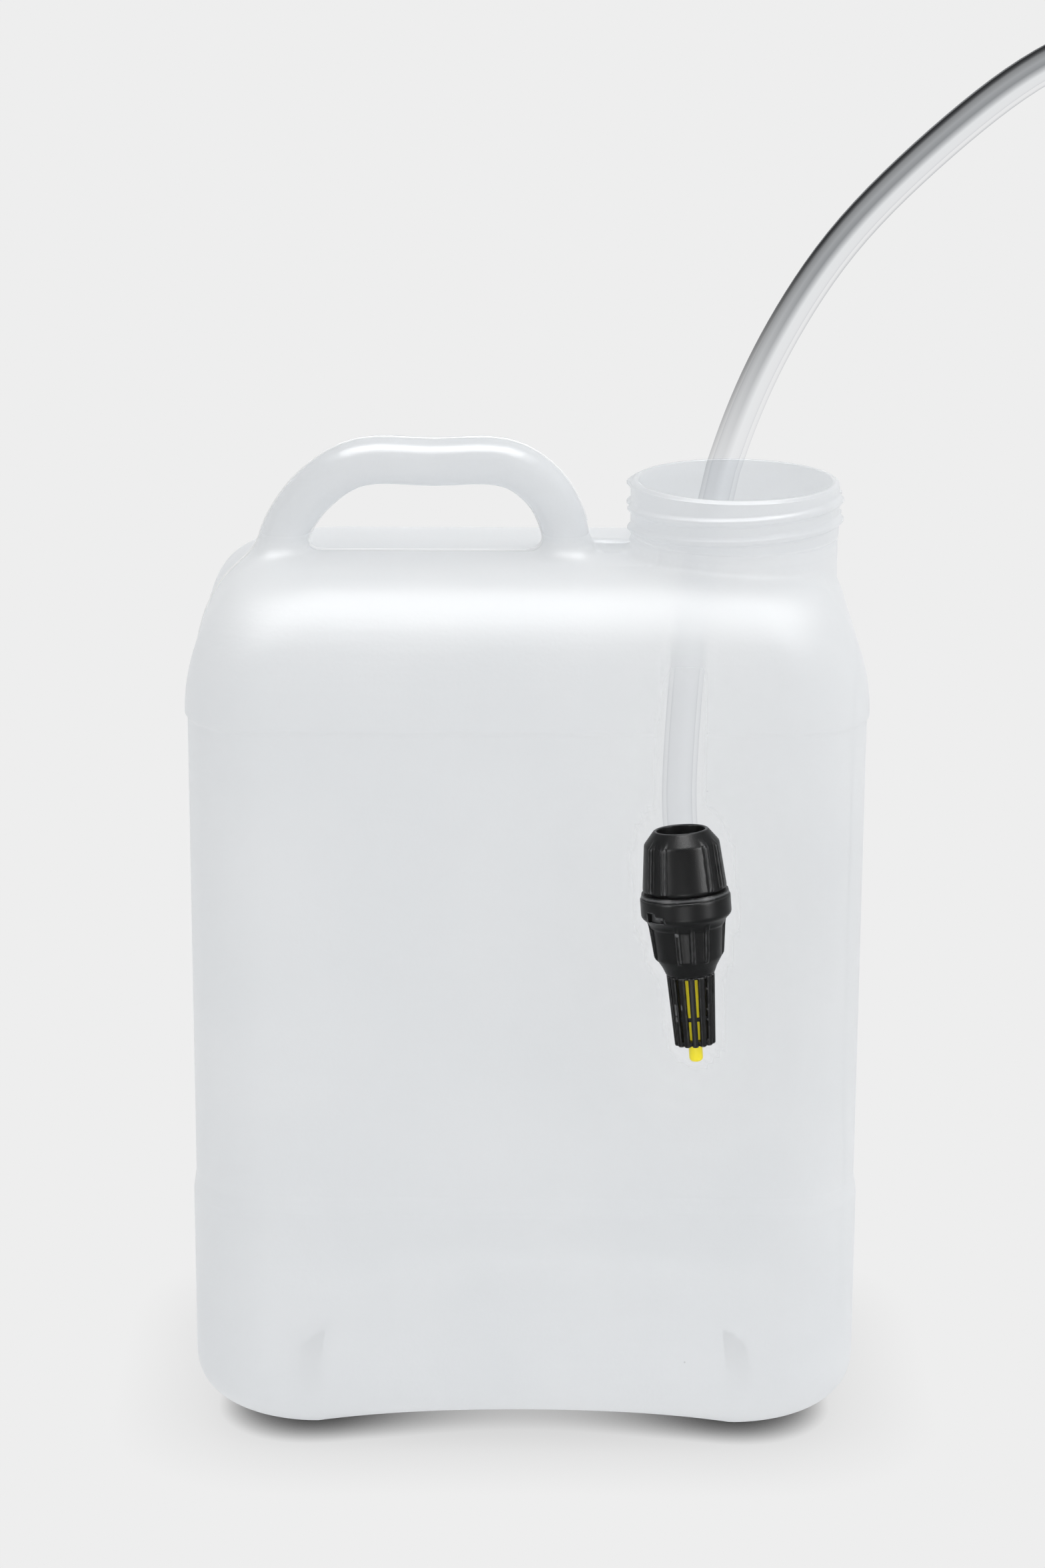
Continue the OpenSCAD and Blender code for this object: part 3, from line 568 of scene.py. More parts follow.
def make_hose(material):
    """One open tube with its bore, from the foot valve to the pump's coupling."""
    path = hose_path()
    rows, sides = len(path), HOSE_SIDES
    outer = rings_along(path, HOSE_D / 2, sides)
    inner = rings_along(path, HOSE_BORE / 2, sides)
    faces = ring_faces(rows, sides) + ring_faces(rows, sides, rows * sides, flip=True)
    for row, flip in ((0, False), (rows - 1, True)):
        for k in range(sides):
            a, b = row * sides + k, row * sides + (k + 1) % sides
            c, d = b + rows * sides, a + rows * sides
            faces.append((a, b, c, d) if flip else (a, d, c, b))
    hose = mesh_piece("hose", np.concatenate([outer, inner]), faces, material,
                      "root", 40)
    skin = hose.data.attributes.new("outside", "FLOAT", "POINT")
    skin.data.foreach_set("value", np.repeat([1.0, 0.0], rows * sides).astype(np.float32))
    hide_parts("suction_hose", "hose_coil", "hose_tail")


# ---- foot valve

# Where the nut's top is and how the valve hangs; its own frame has z up along its axis.
VALVE_AT = np.array([67.8, -40.0, 275.1])
VALVE_TURN = np.array(Matrix.Rotation(math.radians(-4.5), 3, "Y")
                      @ Matrix.Rotation(math.radians(-6), 3, "X"))
FRONT = 270.0
# Profiles are pairs of depth below the nut's top and radius; directions are in degrees.
NUT_H, NUT_RIBS = 27.0, [48 + 90 * k + side * 11.5 for k in range(4) for side in (-1, 1)]
NUT_WALL = [(0, 12.0), (0.5, 12.4), (6, 16.7), (26.3, 18.65), (27, 18.1)]
NUT_RIB = [(1.4, 12.0), (2.2, 13.4), (6.2, 17.9), (24.6, 19.85), (25.6, 19.7), (26.6, 18.4)]
NUT_HOLLOW = [(6.9, 10.8), (11.6, 15.25)]
HOUSING_TOP, HOUSING_LOW = 29.5, 65.0
HOUSING_WALL = [(29.5, 19.6), (30.0, 20.05), (37.6, 20.05), (38.6, 19.6), (40.2, 17.9),
                (41.6, 16.9), (43.0, 16.5), (43.5, 15.7), (57.0, 14.5), (57.4, 14.6),
                (61.5, 12.2), (65.0, 10.75)]
HOUSING_RIB = [(39.4, 17.2), (40.6, 17.6), (43, 17.1), (56.6, 15.6), (58.2, 14.6),
               (59.2, 12.6)]
HOUSING_HOLLOW = [(40.1, 17.3), (40.6, 13.4), (51.4, 13.4), (51.6, 5.5), (53.4, 5.5),
                  (53.6, 12.3), (57.0, 12.3), (61.0, 9.2)]
WAIST_RIBS = [276 + turn for turn in (-24, 0, 24, 90, 156, 180, 204, 270)]
# The two bayonet windows: a slot with a notch above its end, cut down to a radius.
WINDOW_AT, WINDOW_FLOOR = (224.0, 44.0), 16.9
SLOT_HALF, SLOT_TOP, NOTCH_TOP, NOTCH_EDGE, WINDOW_LOW = 5.0, 36.2, 34.5, 0.2, 38.7
# The strainer: a row of bars with slots between them, crossed by a ring.
BASKET_TOP, BASKET_LOW, BARS, BASKET_RING = 65.1, 97.3, 14, (83.7, 85.5)
BASKET_WALL = [(65, 10.85), (97.3, 9.15)]
SLOTS_TOP, SLOTS_LOW, SLOT_GAP = 66.3, 94.9, ([66, 95], [0.8, 0.55])
SPIGOT_R, SPIGOT_TOP, SPIGOT_LOW, BASKET_HOLE = 9.0, 61.6, 66.5, 3.3
BAFFLE_R, BAFFLE_HALF, BAFFLE_LOW = 6.6, 0.5, 96


def smooth_max(a, b, k):
    return -smooth_min(-a, -b, k)


def rounded(depth, stations, soften):
    """A radius along the axis through the stations, with its corners softened."""
    at = [s[0] for s in stations]
    radius = [s[1] for s in stations]
    return sum(w * np.interp(depth + soften * k, at, radius)
               for k, w in ((-1, 0.25), (-0.5, 0.15), (0, 0.2), (0.5, 0.15), (1, 0.25)))


def round_parts(p):
    """Distance from the axis, direction round it in degrees, and depth below the nut's top."""
    return (np.hypot(p[:, 0], p[:, 1]), np.degrees(np.arctan2(p[:, 1], p[:, 0])), -p[:, 2])


def beside(r, turn, at):
    """Sideways distance from the half plane at a direction; far away behind the axis."""
    off = np.radians((turn - at + 180) % 360 - 180)
    return np.where(np.abs(off) < math.pi / 2, r * np.sin(off), 1e3 * np.sign(off))


def between(depth, top, low):
    """Below zero between two depths."""
    return np.maximum(top - depth, depth - low)


def rib_field(r, turn, depth, angles, stations, half, top, low):
    """Upright ribs at several directions, with a profile, half a width and two ends."""
    reach = r - rounded(depth, stations, 0.35)
    span = between(depth, top, low)
    out = np.full(r.shape, 1e3)
    for angle in angles:
        slab = np.abs(beside(r, turn, angle)) - half
        out = np.minimum(out, smooth_max(smooth_max(slab, reach, 0.55), span, 0.5))
    return out


def nut_field(p):
    r, turn, depth = round_parts(p)
    wall = smooth_max(r - rounded(depth, NUT_WALL, 0.5), between(depth, 0, NUT_H), 0.7)
    ribs = rib_field(r, turn, depth, NUT_RIBS, NUT_RIB, 1.2, 1.4, 26.4)
    hollow = r - rounded(depth, NUT_HOLLOW, 0.4)
    return smooth_max(smooth_min(wall, ribs, 0.5), -hollow, 0.6)


def housing_field(p):
    r, turn, depth = round_parts(p)
    wall = smooth_max(r - rounded(depth, HOUSING_WALL, 0.4),
                      between(depth, HOUSING_TOP, HOUSING_LOW), 0.6)
    ribs = rib_field(r, turn, depth, WAIST_RIBS, HOUSING_RIB, 1.05, 39.2, 59.0)
    hollow = r - rounded(depth, HOUSING_HOLLOW, 0.3)
    body = smooth_max(smooth_min(wall, ribs, 0.45), -hollow, 0.3)
    for at in WINDOW_AT:
        side = beside(r, turn, at)
        slot = np.maximum(np.abs(side) - SLOT_HALF, between(depth, SLOT_TOP, WINDOW_LOW))
        notch = np.maximum(between(side, -SLOT_HALF, NOTCH_EDGE),
                           between(depth, NOTCH_TOP, WINDOW_LOW))
        window = np.maximum(np.minimum(slot, notch), WINDOW_FLOOR - r)
        body = smooth_max(body, -window, 0.25)
    return body


def basket_field(p):
    r, turn, depth = round_parts(p)
    outer = rounded(depth, BASKET_WALL, 0.1)
    pitch = 360 / BARS
    to_bar = (turn - FRONT + pitch / 2) % pitch - pitch / 2
    to_slot = (turn - FRONT) % pitch - pitch / 2
    bar = smooth_max(np.abs(r * np.sin(np.radians(to_bar))) - (0.45 + outer * 0.1),
                     r - outer, 0.9)
    bar = smooth_max(bar, between(depth, BASKET_TOP, BASKET_LOW), 0.8)
    core = np.maximum(r - outer + 0.85, between(depth, BASKET_TOP, BASKET_LOW - 0.7))
    spigot = np.maximum(r - SPIGOT_R, between(depth, SPIGOT_TOP, SPIGOT_LOW))
    baffle = np.maximum(np.abs(r - BAFFLE_R) - BAFFLE_HALF,
                        np.maximum(-p[:, 1], between(depth, SPIGOT_TOP, BAFFLE_LOW)))
    body = np.minimum(smooth_min(bar, core, 0.35), spigot)
    gap = np.abs(r * np.sin(np.radians(to_slot))) - np.interp(depth, *SLOT_GAP)
    slots = np.maximum(gap, np.minimum(between(depth, SLOTS_TOP, BASKET_RING[0]),
                                       between(depth, BASKET_RING[1], SLOTS_LOW)))
    recess = np.maximum(gap, np.maximum(outer - 1.3 - r, between(depth, SLOTS_TOP, SLOTS_LOW)))
    cut = np.minimum(slots, recess)
    hollow = np.maximum(r - outer + 2.0, between(depth, 60, 95.0))
    hole = r - BASKET_HOLE
    body = smooth_max(body, -np.minimum(np.minimum(cut, hollow), hole), 0.2)
    return np.minimum(body, baffle)


# Moulded pieces: name, field, half width, top and low end, grid step, body and CAD node.
MOULDED = [
    ("nut", nut_field, (20.8, -0.8, 27.9), 0.55, "nut", "clamp_nut"),
    ("housing", housing_field, (21.0, 28.7, 65.9), 0.55, "housing", "valve_housing"),
    ("strainer", basket_field, (11.8, 60.8, 98.2), 0.36, "housing", "strainer_basket"),
]


def hung(points):
    """Points of the valve's own frame, put where the valve hangs."""
    return points @ VALVE_TURN.T + VALVE_AT


def make_moulded(black):
    pieces = []
    for name, field, (half, top, low), step, body, node in MOULDED:
        step *= 1
        points, faces = surface_net(field, (-half, -half, -low), (half, half, -top), step)
        points = settle(field, points, 3, 0.05, step)
        piece = mesh_piece(name, hung(points), faces.tolist(), black, body, 60)
        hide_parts(node)
        pieces.append(piece)
    return pieces


STEM_R, STEM_LOW, NOSE_R, STEM_SIDES = 3.1, 105.3, 1.8, 48


def stem_stations():
    """Spring pin, valve disc, long stem and its rounded foot."""
    stations = [(44.95, 0.6), (45.0, 2.6), (47.7, 3.0), (47.9, 7.3), (48.1, 7.5), (49.7, 7.5),
                (49.9, 7.3), (49.95, 3.1)]
    stations += [(d, STEM_R) for d in np.linspace(54, STEM_LOW - NOSE_R, 12)]
    for a in np.linspace(0, math.pi / 2, 9)[1:]:
        stations.append((STEM_LOW - NOSE_R + NOSE_R * math.sin(a),
                         STEM_R - NOSE_R + NOSE_R * math.cos(a)))
    return stations


def make_stem(yellow):
    """A turned piece, closed on the axis at both ends."""
    turns = np.arange(STEM_SIDES) * 2 * math.pi / STEM_SIDES
    stations = stem_stations()
    points = np.concatenate([np.stack([radius * np.cos(turns), radius * np.sin(turns),
                                       np.full(STEM_SIDES, -depth)], 1)
                             for depth, radius in stations])
    rows = len(stations)
    faces = ring_faces(rows, STEM_SIDES, flip=True) + end_caps(rows, STEM_SIDES)
    piece = mesh_piece("stem", hung(points), [face[::-1] for face in faces],
                       yellow, "stem", 40)
    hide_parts("valve_stem")
    return piece


SPRING_TOP, SPRING_LOW, SPRING_R, SPRING_WIRE = 34.75, 47.15, 4.5, 0.9
SPRING_TURNS, SPRING_SIDES = 5, 10


def make_spring(steel):
    """The closing spring: it stays up at the head."""
    turns = np.linspace(0, SPRING_TURNS * 2 * math.pi, SPRING_TURNS * 28 + 1)
    path = np.stack([SPRING_R * np.cos(turns), SPRING_R * np.sin(turns),
                     -np.linspace(SPRING_TOP, SPRING_LOW, len(turns))], 1)
    points = rings_along(path, SPRING_WIRE / 2, SPRING_SIDES)
    faces = ring_faces(len(path), SPRING_SIDES) + end_caps(len(path), SPRING_SIDES)
    spring = mesh_piece("spring", hung(points), faces, steel, "root", 60)
    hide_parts("return_spring")
    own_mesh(spring)


# ---- materials

class Tree:
    """A short way to write the nodes of a material or a world."""

    def __init__(self, owner):
        owner.use_nodes = True
        self.nodes = owner.node_tree.nodes
        self.links = owner.node_tree.links

    def add(self, kind, **settings):
        node = self.nodes.new(kind)
        for key, value in settings.items():
            setattr(node, key, value)
        return node

    def join(self, source, target):
        self.links.new(source, target)

    def feed(self, value, target):
        """Links an input to another socket, or sets its number, vector or colour."""
        if isinstance(value, bpy.types.NodeSocket):
            self.join(value, target)
        elif target.type == "RGBA":
            target.default_value = (*value, 1.0)
        else:
            target.default_value = value

    def set(self, node, **values):
        for key, value in values.items():
            self.feed(value, node.inputs[key.replace("_", " ")])

    def place(self, axis=None):
        """The place in the object's own frame, or one coordinate of it."""
        whole = self.add("ShaderNodeTexCoord").outputs["Object"]
        if axis is None:
            return whole
        split = self.add("ShaderNodeSeparateXYZ")
        self.join(whole, split.inputs[0])
        return split.outputs[axis]

    def noise(self, scale, detail=2.0, rough=0.5, stretch=None):
        place = self.place()
        if stretch:
            mapping = self.add("ShaderNodeMapping")
            self.set(mapping, Scale=stretch, Vector=place)
            place = mapping.outputs["Vector"]
        node = self.add("ShaderNodeTexNoise")
        self.set(node, Scale=scale, Detail=detail, Roughness=rough, Vector=place)
        return node.outputs["Fac"]

    def ramp(self, source, stops):
        node = self.add("ShaderNodeValToRGB")
        bar = node.color_ramp
        while len(bar.elements) < len(stops):
            bar.elements.new(0.5)
        for element, (at, colour) in zip(bar.elements, stops):
            element.position = at
            element.color = (*colour, 1.0)
        self.join(source, node.inputs["Fac"])
        return node.outputs["Color"]

    def math(self, operation, *values):
        node = self.add("ShaderNodeMath", operation=operation)
        for value, target in zip(values, node.inputs):
            self.feed(value, target)
        return node.outputs[0]

    def fade(self, value, low, high, start, end):
        """A smooth step from one value to another as the input goes from low to high."""
        node = self.add("ShaderNodeMapRange", interpolation_type="SMOOTHSTEP")
        self.set(node, Value=value, From_Min=low, From_Max=high, To_Min=start, To_Max=end)
        return node.outputs["Result"]

    def mix(self, share, first, second, how="MIX"):
        """Two colours mixed; 0, 6, 7 and 2 are the node's sockets for colours."""
        node = self.add("ShaderNodeMix", data_type="RGBA", blend_type=how)
        for value, number in ((share, 0), (first, 6), (second, 7)):
            self.feed(value, node.inputs[number])
        return node.outputs[2]

    def cover(self, share, under, over):
        """Two shaders mixed."""
        node = self.add("ShaderNodeMixShader")
        self.feed(share, node.inputs["Fac"])
        self.join(under.outputs[0], node.inputs[1])
        self.join(over.outputs[0], node.inputs[2])
        return node

    def bump(self, height, strength, distance):
        node = self.add("ShaderNodeBump")
        self.set(node, Strength=strength, Distance=distance, Height=height)
        return node.outputs["Normal"]


class Shader(Tree):
    """A new material and its main shader."""

    def __init__(self, name):
        self.material = bpy.data.materials.new(name)
        super().__init__(self.material)
        self.main = self.nodes["Principled BSDF"]

    def lay(self, **values):
        """Sets or links inputs of the main shader."""
        self.set(self.main, **values)

    def surface(self, shader):
        self.join(shader.outputs[0], self.nodes["Material Output"].inputs["Surface"])


# The share of the milky wall's light that soaks through it.
GLOW_SHARE = 0.42


def milky_wall(s):
    """Mixes the main shader with light that soaks through, and with plain sight."""
    glow = s.add("ShaderNodeBsdfTranslucent")
    s.set(glow, Color=(0.93, 0.945, 0.955))
    sight = s.add("ShaderNodeAttribute", attribute_name="sight")
    body = s.cover(GLOW_SHARE, s.main, glow)
    s.surface(s.cover(sight.outputs["Fac"], body, s.add("ShaderNodeBsdfTransparent")))


def hdpe_material():
    """Milky polyethylene with the mould's orange peel, a few specks and a glossier neck."""
    s = Shader("milky polyethylene")
    cloud = s.noise(14.0)
    tone = s.ramp(cloud, [(0.35, (0.83, 0.848, 0.868)), (0.65, (0.87, 0.883, 0.90))])
    cells = s.add("ShaderNodeTexVoronoi")
    s.set(cells, Scale=38.0, Vector=s.place())
    chance = s.add("ShaderNodeSeparateColor")
    s.join(cells.outputs["Color"], chance.inputs[0])
    dot = s.fade(cells.outputs["Distance"], 0.012, 0.02, 1.0, 0.0)
    dot = s.math("MULTIPLY", dot, s.math("GREATER_THAN", chance.outputs[0], 0.6))
    s.lay(Base_Color=s.mix(s.math("MULTIPLY", dot, 0.5), tone, (0.25, 0.25, 0.25)), IOR=1.5)
    polish = s.fade(s.place("Z"), COLLAR_TOP * MM, (COLLAR_TOP + 2) * MM, 0.0, -0.14)
    s.lay(Roughness=s.math("ADD", s.math("MULTIPLY_ADD", cloud, 0.08, 0.33), polish))
    peel = s.noise(420.0, 1.0, 0.6)
    ripple = s.noise(60.0, 1.0, stretch=(0.25, 1.0, 3.2))
    s.lay(Normal=s.bump(s.math("MULTIPLY_ADD", ripple, 2.2, peel), 0.16, 0.0006))
    milky_wall(s)
    return s.material


def inside_material():
    """The wall's inner skin: the same plastic, without the mould's orange peel."""
    s = Shader("milky polyethylene inside")
    s.lay(Base_Color=(0.86, 0.875, 0.89), Roughness=0.4, IOR=1.5)
    milky_wall(s)
    return s.material


def seam_material():
    """The thin flash along the mould's parting: whiter than the wall, partly its own tone and
    partly a painted highlight along the line.
    """
    s = Shader("milky polyethylene seam")
    # Whiter than the wall: partly the flash's own tone, partly a painted highlight.
    s.lay(Base_Color=(0.95, 0.955, 0.96), Roughness=0.35, IOR=1.5)
    return s.material


def black_material():
    """Satin black moulding with a fine spark-eroded grain, and paler edges that are partly
    rubbed wear and partly a painted highlight.
    """
    s = Shader("black plastic")
    tone = s.ramp(s.noise(35.0), [(0.3, (0.004, 0.0042, 0.0045)),
                                  (0.7, (0.008, 0.0083, 0.0085))])
    shape = s.add("ShaderNodeNewGeometry")
    # Paler on sharp edges: partly rubbed wear, partly a painted highlight.
    wear_and_edge_highlight = s.fade(shape.outputs["Pointiness"], 0.52, 0.58, 0.0, 1.0)
    s.lay(Base_Color=s.mix(wear_and_edge_highlight, tone, (0.13, 0.132, 0.135)), IOR=1.5,
          Specular_IOR_Level=0.09)
    fine = s.noise(2400.0, 1.0, 0.6)
    s.lay(Roughness=s.math("MULTIPLY_ADD", fine, 0.2, 0.25), Normal=s.bump(fine, 0.45, 0.0001))
    return s.material


def rubber_material():
    """Matt black seal rubber with a dusting of mould release."""
    s = Shader("seal rubber")
    tone = s.ramp(s.noise(260.0, 3.0), [(0.35, (0.012, 0.012, 0.013)),
                                        (0.75, (0.028, 0.028, 0.029))])
    s.lay(Base_Color=tone, Roughness=0.62, IOR=1.5, Normal=s.bump(s.noise(1500.0), 0.3, 0.0001))
    return s.material


def steel_material():
    """Stainless spring and clip steel, with fine drawn streaks."""
    s = Shader("spring steel")
    streak = s.noise(1800.0, stretch=(0.2, 1.0, 1.0))
    tone = s.ramp(streak, [(0.3, (0.52, 0.52, 0.53)), (0.7, (0.66, 0.66, 0.67))])
    s.lay(Base_Color=tone, Metallic=1.0, Roughness=s.math("MULTIPLY_ADD", streak, 0.2, 0.22))
    return s.material


def strap_material():
    """Black strap with a fine plain weave."""
    s = Shader("tie strap")
    waves = []
    for direction in "XYZ":
        wave = s.add("ShaderNodeTexWave", bands_direction=direction)
        s.set(wave, Scale=180.0, Distortion=1.2, Detail=1.0, Vector=s.place())
        waves.append(wave.outputs["Fac"])
    weave = s.math("MULTIPLY", s.math("MULTIPLY", waves[0], waves[1]), waves[2])
    tone = s.ramp(weave, [(0.0, (0.014, 0.014, 0.015)), (0.6, (0.045, 0.045, 0.048))])
    s.lay(Base_Color=tone, Roughness=0.85, Sheen_Weight=0.3, Normal=s.bump(weave, 0.7, 0.0003))
    return s.material


# The side of the hose that gets painted shade, and the heights between which that begins.
HOSE_SHADE, HOSE_SHADE_FROM, HOSE_SHADE_FULL = (-0.67, 0.185, 0.72), 0.40, 0.54


def hose_material():
    """Clear PVC, with painted shade on its upper left side and a painted highlight on its lower
    right.
    """
    s = Shader("clear pvc")
    shape = s.add("ShaderNodeNewGeometry")
    side = s.add("ShaderNodeVectorMath", operation="DOT_PRODUCT")
    s.join(shape.outputs["Normal"], side.inputs[0])
    side.inputs[1].default_value = HOSE_SHADE
    turned = s.math("MULTIPLY_ADD", side.outputs["Value"], 0.5, 0.5)
    # Painted shade and highlight by which way the surface faces: grey with a dark line towards
    # the upper left, bright towards the lower right.
    painted_shade_and_highlight = s.ramp(turned, [(0.0, (0.72, 0.73, 0.74)), (0.06, (0.97, 0.97, 0.975)),
                           (0.34, (0.92, 0.93, 0.935)), (0.42, (0.62, 0.63, 0.64)),
                           (0.52, (0.33, 0.34, 0.35)), (0.66, (0.43, 0.44, 0.45)),
                           (0.81, (0.30, 0.305, 0.31)), (0.88, (0.07, 0.072, 0.075)),
                           (0.94, (0.02, 0.021, 0.023)), (0.97, (0.2, 0.205, 0.21)),
                           (1.0, (0.5, 0.51, 0.52))])
    # The painted shade is full above one height and faint below it.
    high = s.fade(s.place("Z"), HOSE_SHADE_FROM, HOSE_SHADE_FULL, 0.07, 1.0)
    skin = s.add("ShaderNodeAttribute", attribute_name="outside")
    facing = s.math("SUBTRACT", 1.0, shape.outputs["Backfacing"])
    near = s.math("MULTIPLY", skin.outputs["Fac"], facing)
    shaded = s.mix(s.math("MULTIPLY", near, high), (0.99, 0.992, 0.995), painted_shade_and_highlight)
    # Darker towards the grazing edges: partly the slanting wall letting less through, partly a
    # painted reflection of dark surroundings.
    edge = s.add("ShaderNodeLayerWeight")
    rim = s.ramp(edge.outputs["Facing"], [(0.0, (1, 1, 1)), (0.5, (0.985, 0.985, 0.985)),
                                          (0.8, (0.95, 0.95, 0.955)), (0.95, (0.82, 0.83, 0.84)),
                                          (1.0, (0.7, 0.71, 0.72))])
    clear = s.add("ShaderNodeBsdfTransparent")
    s.set(clear, Color=s.mix(1.0, shaded, rim, "MULTIPLY"))
    gloss = s.add("ShaderNodeBsdfGlossy")
    s.set(gloss, Color=(1, 1, 1), Roughness=0.06)
    fresnel = s.add("ShaderNodeFresnel")
    s.set(fresnel, IOR=1.4)
    sheen = s.math("MULTIPLY_ADD", fresnel.outputs[0], 0.14, -0.007)
    s.surface(s.cover(s.math("MULTIPLY", sheen, near), clear, gloss))
    return s.material


def yellow_material():
    """Glossy yellow moulding with a faint grain."""
    s = Shader("yellow plastic")
    tone = s.ramp(s.noise(80.0), [(0.3, (0.84, 0.70, 0.014)), (0.7, (0.90, 0.76, 0.02))])
    s.lay(Base_Color=tone, Roughness=0.3, IOR=1.5, Normal=s.bump(s.noise(700.0), 0.2, 0.0002))
    return s.material


BLACK, RUBBER, STEEL = black_material(), rubber_material(), steel_material()

make_hose(hose_material())
make_canister(hdpe_material(), inside_material())
make_seams(seam_material())
moulded = make_moulded(BLACK)
stem = make_stem(yellow_material())
make_spring(STEEL)

CAD_LOOKS = {
    "clamp_ring": BLACK, "valve_head": BLACK, "pump_spigot": BLACK, "coupling_nut": BLACK,
    "head_o_ring": RUBBER, "stem_seal": RUBBER, "coupling_washer": RUBBER,
    "hose_clip": STEEL, "coil_tie": strap_material(),
}
for name, look in CAD_LOOKS.items():
    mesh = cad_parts[name].data
    mesh.materials.clear()
    mesh.materials.append(look)


# ---- surroundings

# The backdrop's tone, and its soft light: level, even share, gains to the right and upwards.
BACKDROP = 0.855
SOFT, EVEN, SIDE_GAIN, UP_GAIN = 0.85, 0.92, 0.5, 0.38
# The panel overhead that gloss alone shows: brightness, place towards the back, soft edges.
PANEL_GLOW, PANEL_BACK, PANEL_DEEP, PANEL_WIDE = 14.0, 0.12, (0.2, 0.55), (0.3, 0.6)
# Contact shadow: reach in metres and tone by how open the floor is, tight and wide.
TIGHT_REACH, TIGHT = 0.011, [(0.0, (0.03,) * 3), (0.2, (0.22,) * 3), (0.5, (0.52,) * 3),
                             (0.8, (0.76,) * 3), (1.0, (BACKDROP,) * 3)]
WIDE_REACH, WIDE = 0.05, [(0.0, (0.74, 0.74, 0.742)), (0.5, (0.9, 0.9, 0.901)),
                          (1.0, (1.0, 1.0, 1.0))]
# Right of the canister the shadow is fainter, as light comes through the clear coil.
COIL_FROM, COIL_FULL, COIL_SHADE = 0.17, 0.23, 0.22
FLOOR_HALF = 6
# Lights for the valve alone: name, width and height in metres, watts, place.
BLACK_LIGHTS = [
    ("valve_right", (0.08, 0.7), 18.0, (0.75, -0.5, 0.55)),
    ("valve_left", (0.08, 0.7), 12.0, (-0.6, -0.55, 0.55)),
    ("valve_top", (0.4, 0.12), 11.0, (0.1, -0.25, 1.1)),
    ("valve_low", (0.3, 0.1), 4.0, (0.0, -0.9, 0.02)),
]
STEM_LIGHT = ("stem_front", (0.2, 0.2), 4.4, (0.05, -1.2, 0.35))
LIT_AT = (0.072, -0.045, 0.24)


def seen_directly(tree):
    """Whether a ray shows the surroundings themselves, and whether it is glossy."""
    path = tree.add("ShaderNodeLightPath").outputs
    gloss = path["Is Glossy Ray"]
    sharp = tree.math("SUBTRACT", 1.0, path["Is Diffuse Ray"])
    through = tree.math("MULTIPLY", sharp, path["Is Transmission Ray"])
    shown = tree.math("MAXIMUM", path["Is Camera Ray"], gloss)
    return tree.math("MAXIMUM", shown, through), gloss


def make_floor():
    """Pale ground that glows evenly, darkened only where the object stands on it."""
    mesh = bpy.data.meshes.new("floor")
    far = FLOOR_HALF
    mesh.from_pydata([(-far, -far, 0), (far, -far, 0), (far, far, 0), (-far, far, 0)], [],
                     [(0, 1, 2, 3)])
    s = Shader("pale floor")
    shades = []
    for reach, stops in ((TIGHT_REACH, TIGHT), (WIDE_REACH, WIDE)):
        open_share = s.add("ShaderNodeAmbientOcclusion")
        s.set(open_share, Distance=reach)
        shades.append(s.ramp(open_share.outputs["AO"], stops))
    shade = s.mix(1.0, *shades, "MULTIPLY")
    depth = s.fade(s.place("X"), COIL_FROM, COIL_FULL, 1.0, COIL_SHADE)
    shade = s.mix(depth, (BACKDROP,) * 3, shade)
    paper = s.add("ShaderNodeEmission")
    s.set(paper, Color=s.mix(seen_directly(s)[0], (SOFT,) * 3, shade))
    s.surface(paper)
    mesh.materials.append(s.material)
    link(bpy.data.objects.new("floor", mesh))


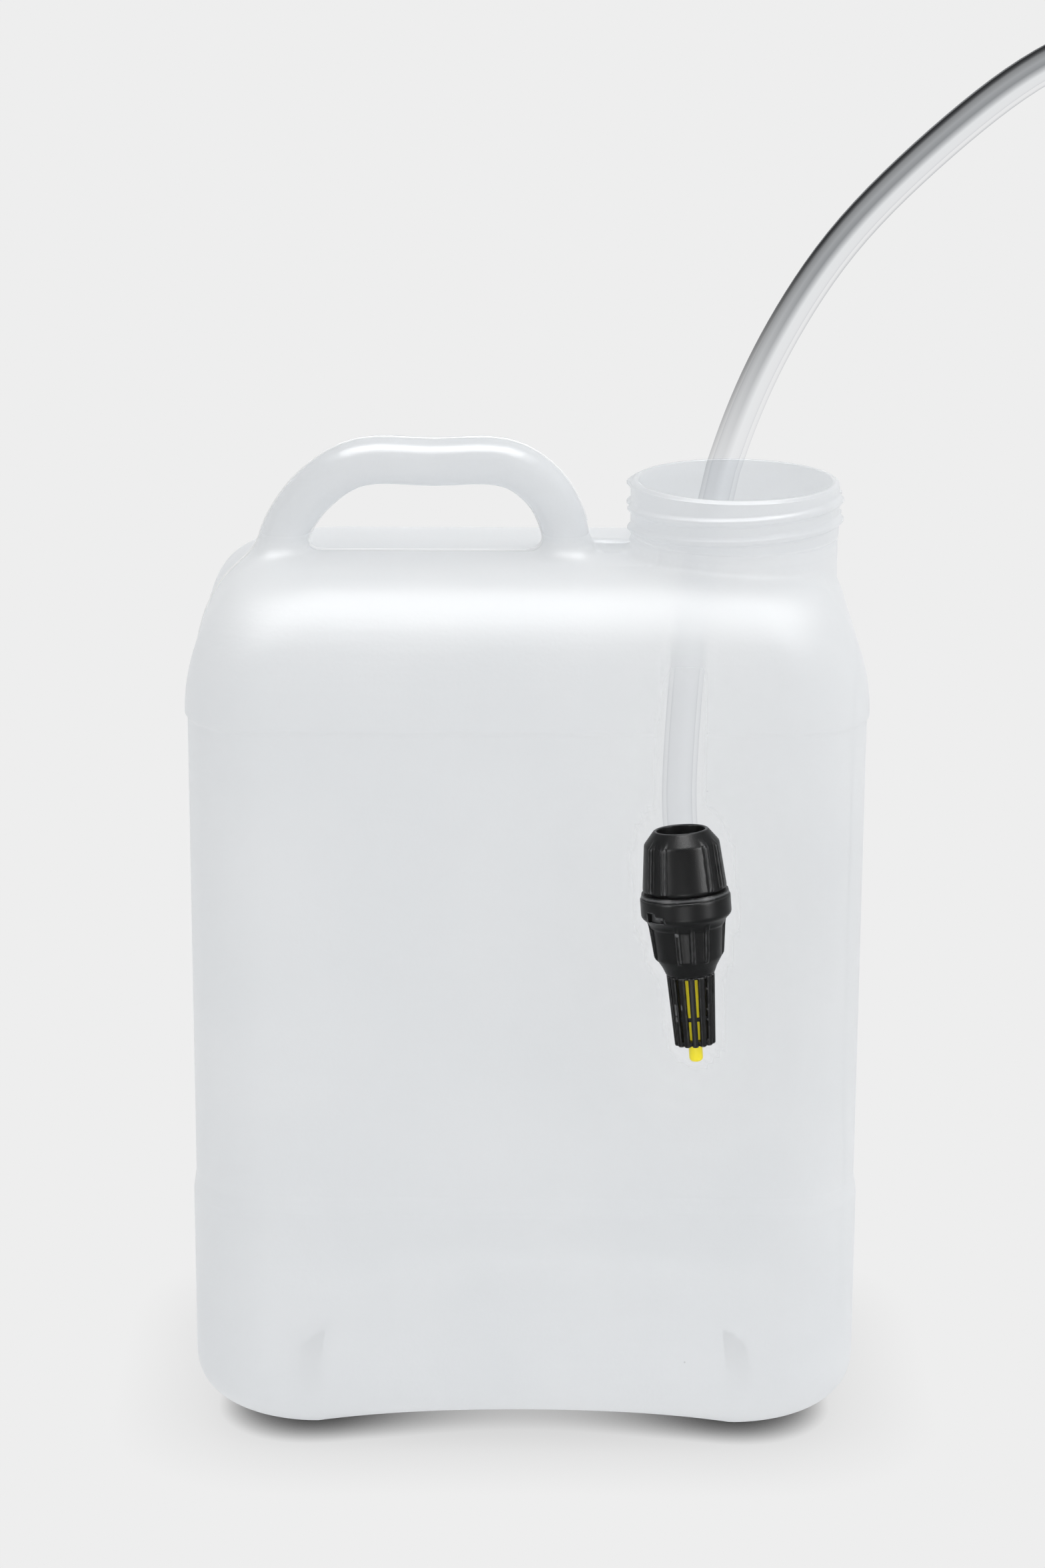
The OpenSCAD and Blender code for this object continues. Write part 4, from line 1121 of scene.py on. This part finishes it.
def make_world():
    """Even surroundings, brighter on the right, and a panel overhead that gloss alone shows."""
    world = bpy.data.worlds.new("studio")
    tree = Tree(world)
    world.cycles.sampling_method = "NONE"
    calc = tree.math
    shown, gloss = seen_directly(tree)
    split = tree.add("ShaderNodeSeparateXYZ")
    tree.join(tree.add("ShaderNodeTexCoord").outputs["Generated"], split.inputs[0])
    east, north, up = split.outputs
    high = calc("MULTIPLY_ADD", calc("MAXIMUM", up, 0.0), SOFT * UP_GAIN, SOFT * EVEN)
    soft = calc("MULTIPLY_ADD", east, SOFT * SIDE_GAIN, high)
    away = calc("ABSOLUTE", calc("SUBTRACT", north, PANEL_BACK))
    panel = calc("MULTIPLY", tree.fade(away, *PANEL_DEEP, 1.0, 0.0),
                 tree.fade(calc("ABSOLUTE", east), *PANEL_WIDE, 1.0, 0.0))
    panel = calc("MULTIPLY", panel, calc("GREATER_THAN", up, 0.0))
    panel = calc("MULTIPLY", panel, gloss)
    lit = calc("MULTIPLY", calc("SUBTRACT", 1.0, shown), soft)
    plain = calc("ADD", calc("MULTIPLY", shown, BACKDROP), lit)
    tree.set(tree.nodes["Background"], Color=(1, 1, 1),
             Strength=calc("MULTIPLY_ADD", panel, PANEL_GLOW, plain))
    scene.world = world


def soft_light(name, size, power, at, only, shine_only=True):
    """A soft panel of light aimed at the valve, for a few pieces alone."""
    data = bpy.data.lights.new(name, "AREA")
    data.shape = "RECTANGLE"
    data.size, data.size_y = size
    data.energy = power
    lamp = link(bpy.data.objects.new(name, data))
    lamp.location = at
    aim = Vector(LIT_AT) - Vector(at)
    lamp.rotation_euler = aim.to_track_quat("-Z", "Y").to_euler()
    lamp.visible_camera = False
    lamp.visible_transmission = False
    lamp.visible_diffuse = not shine_only
    lamp.light_linking.receiver_collection = only
    lamp.light_linking.blocker_collection = only


def make_group(name, pieces):
    group = bpy.data.collections.new(name)
    for piece in pieces:
        group.objects.link(piece)
    return group


def make_lights(black_pieces, stem):
    """Small lights for the valve alone: its black moulding shows by its bright edges."""
    black = make_group("black_moulding", black_pieces)
    for light in BLACK_LIGHTS:
        soft_light(*light, black)
    soft_light(*STEM_LIGHT, make_group("yellow_stem", [stem]), shine_only=False)


make_floor()
make_world()
make_lights([*moulded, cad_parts["valve_head"]], stem)
scene.view_settings.view_transform = "Standard"
scene.cycles.transparent_max_bounces = 14
scene.cycles.min_transparent_bounces = 10
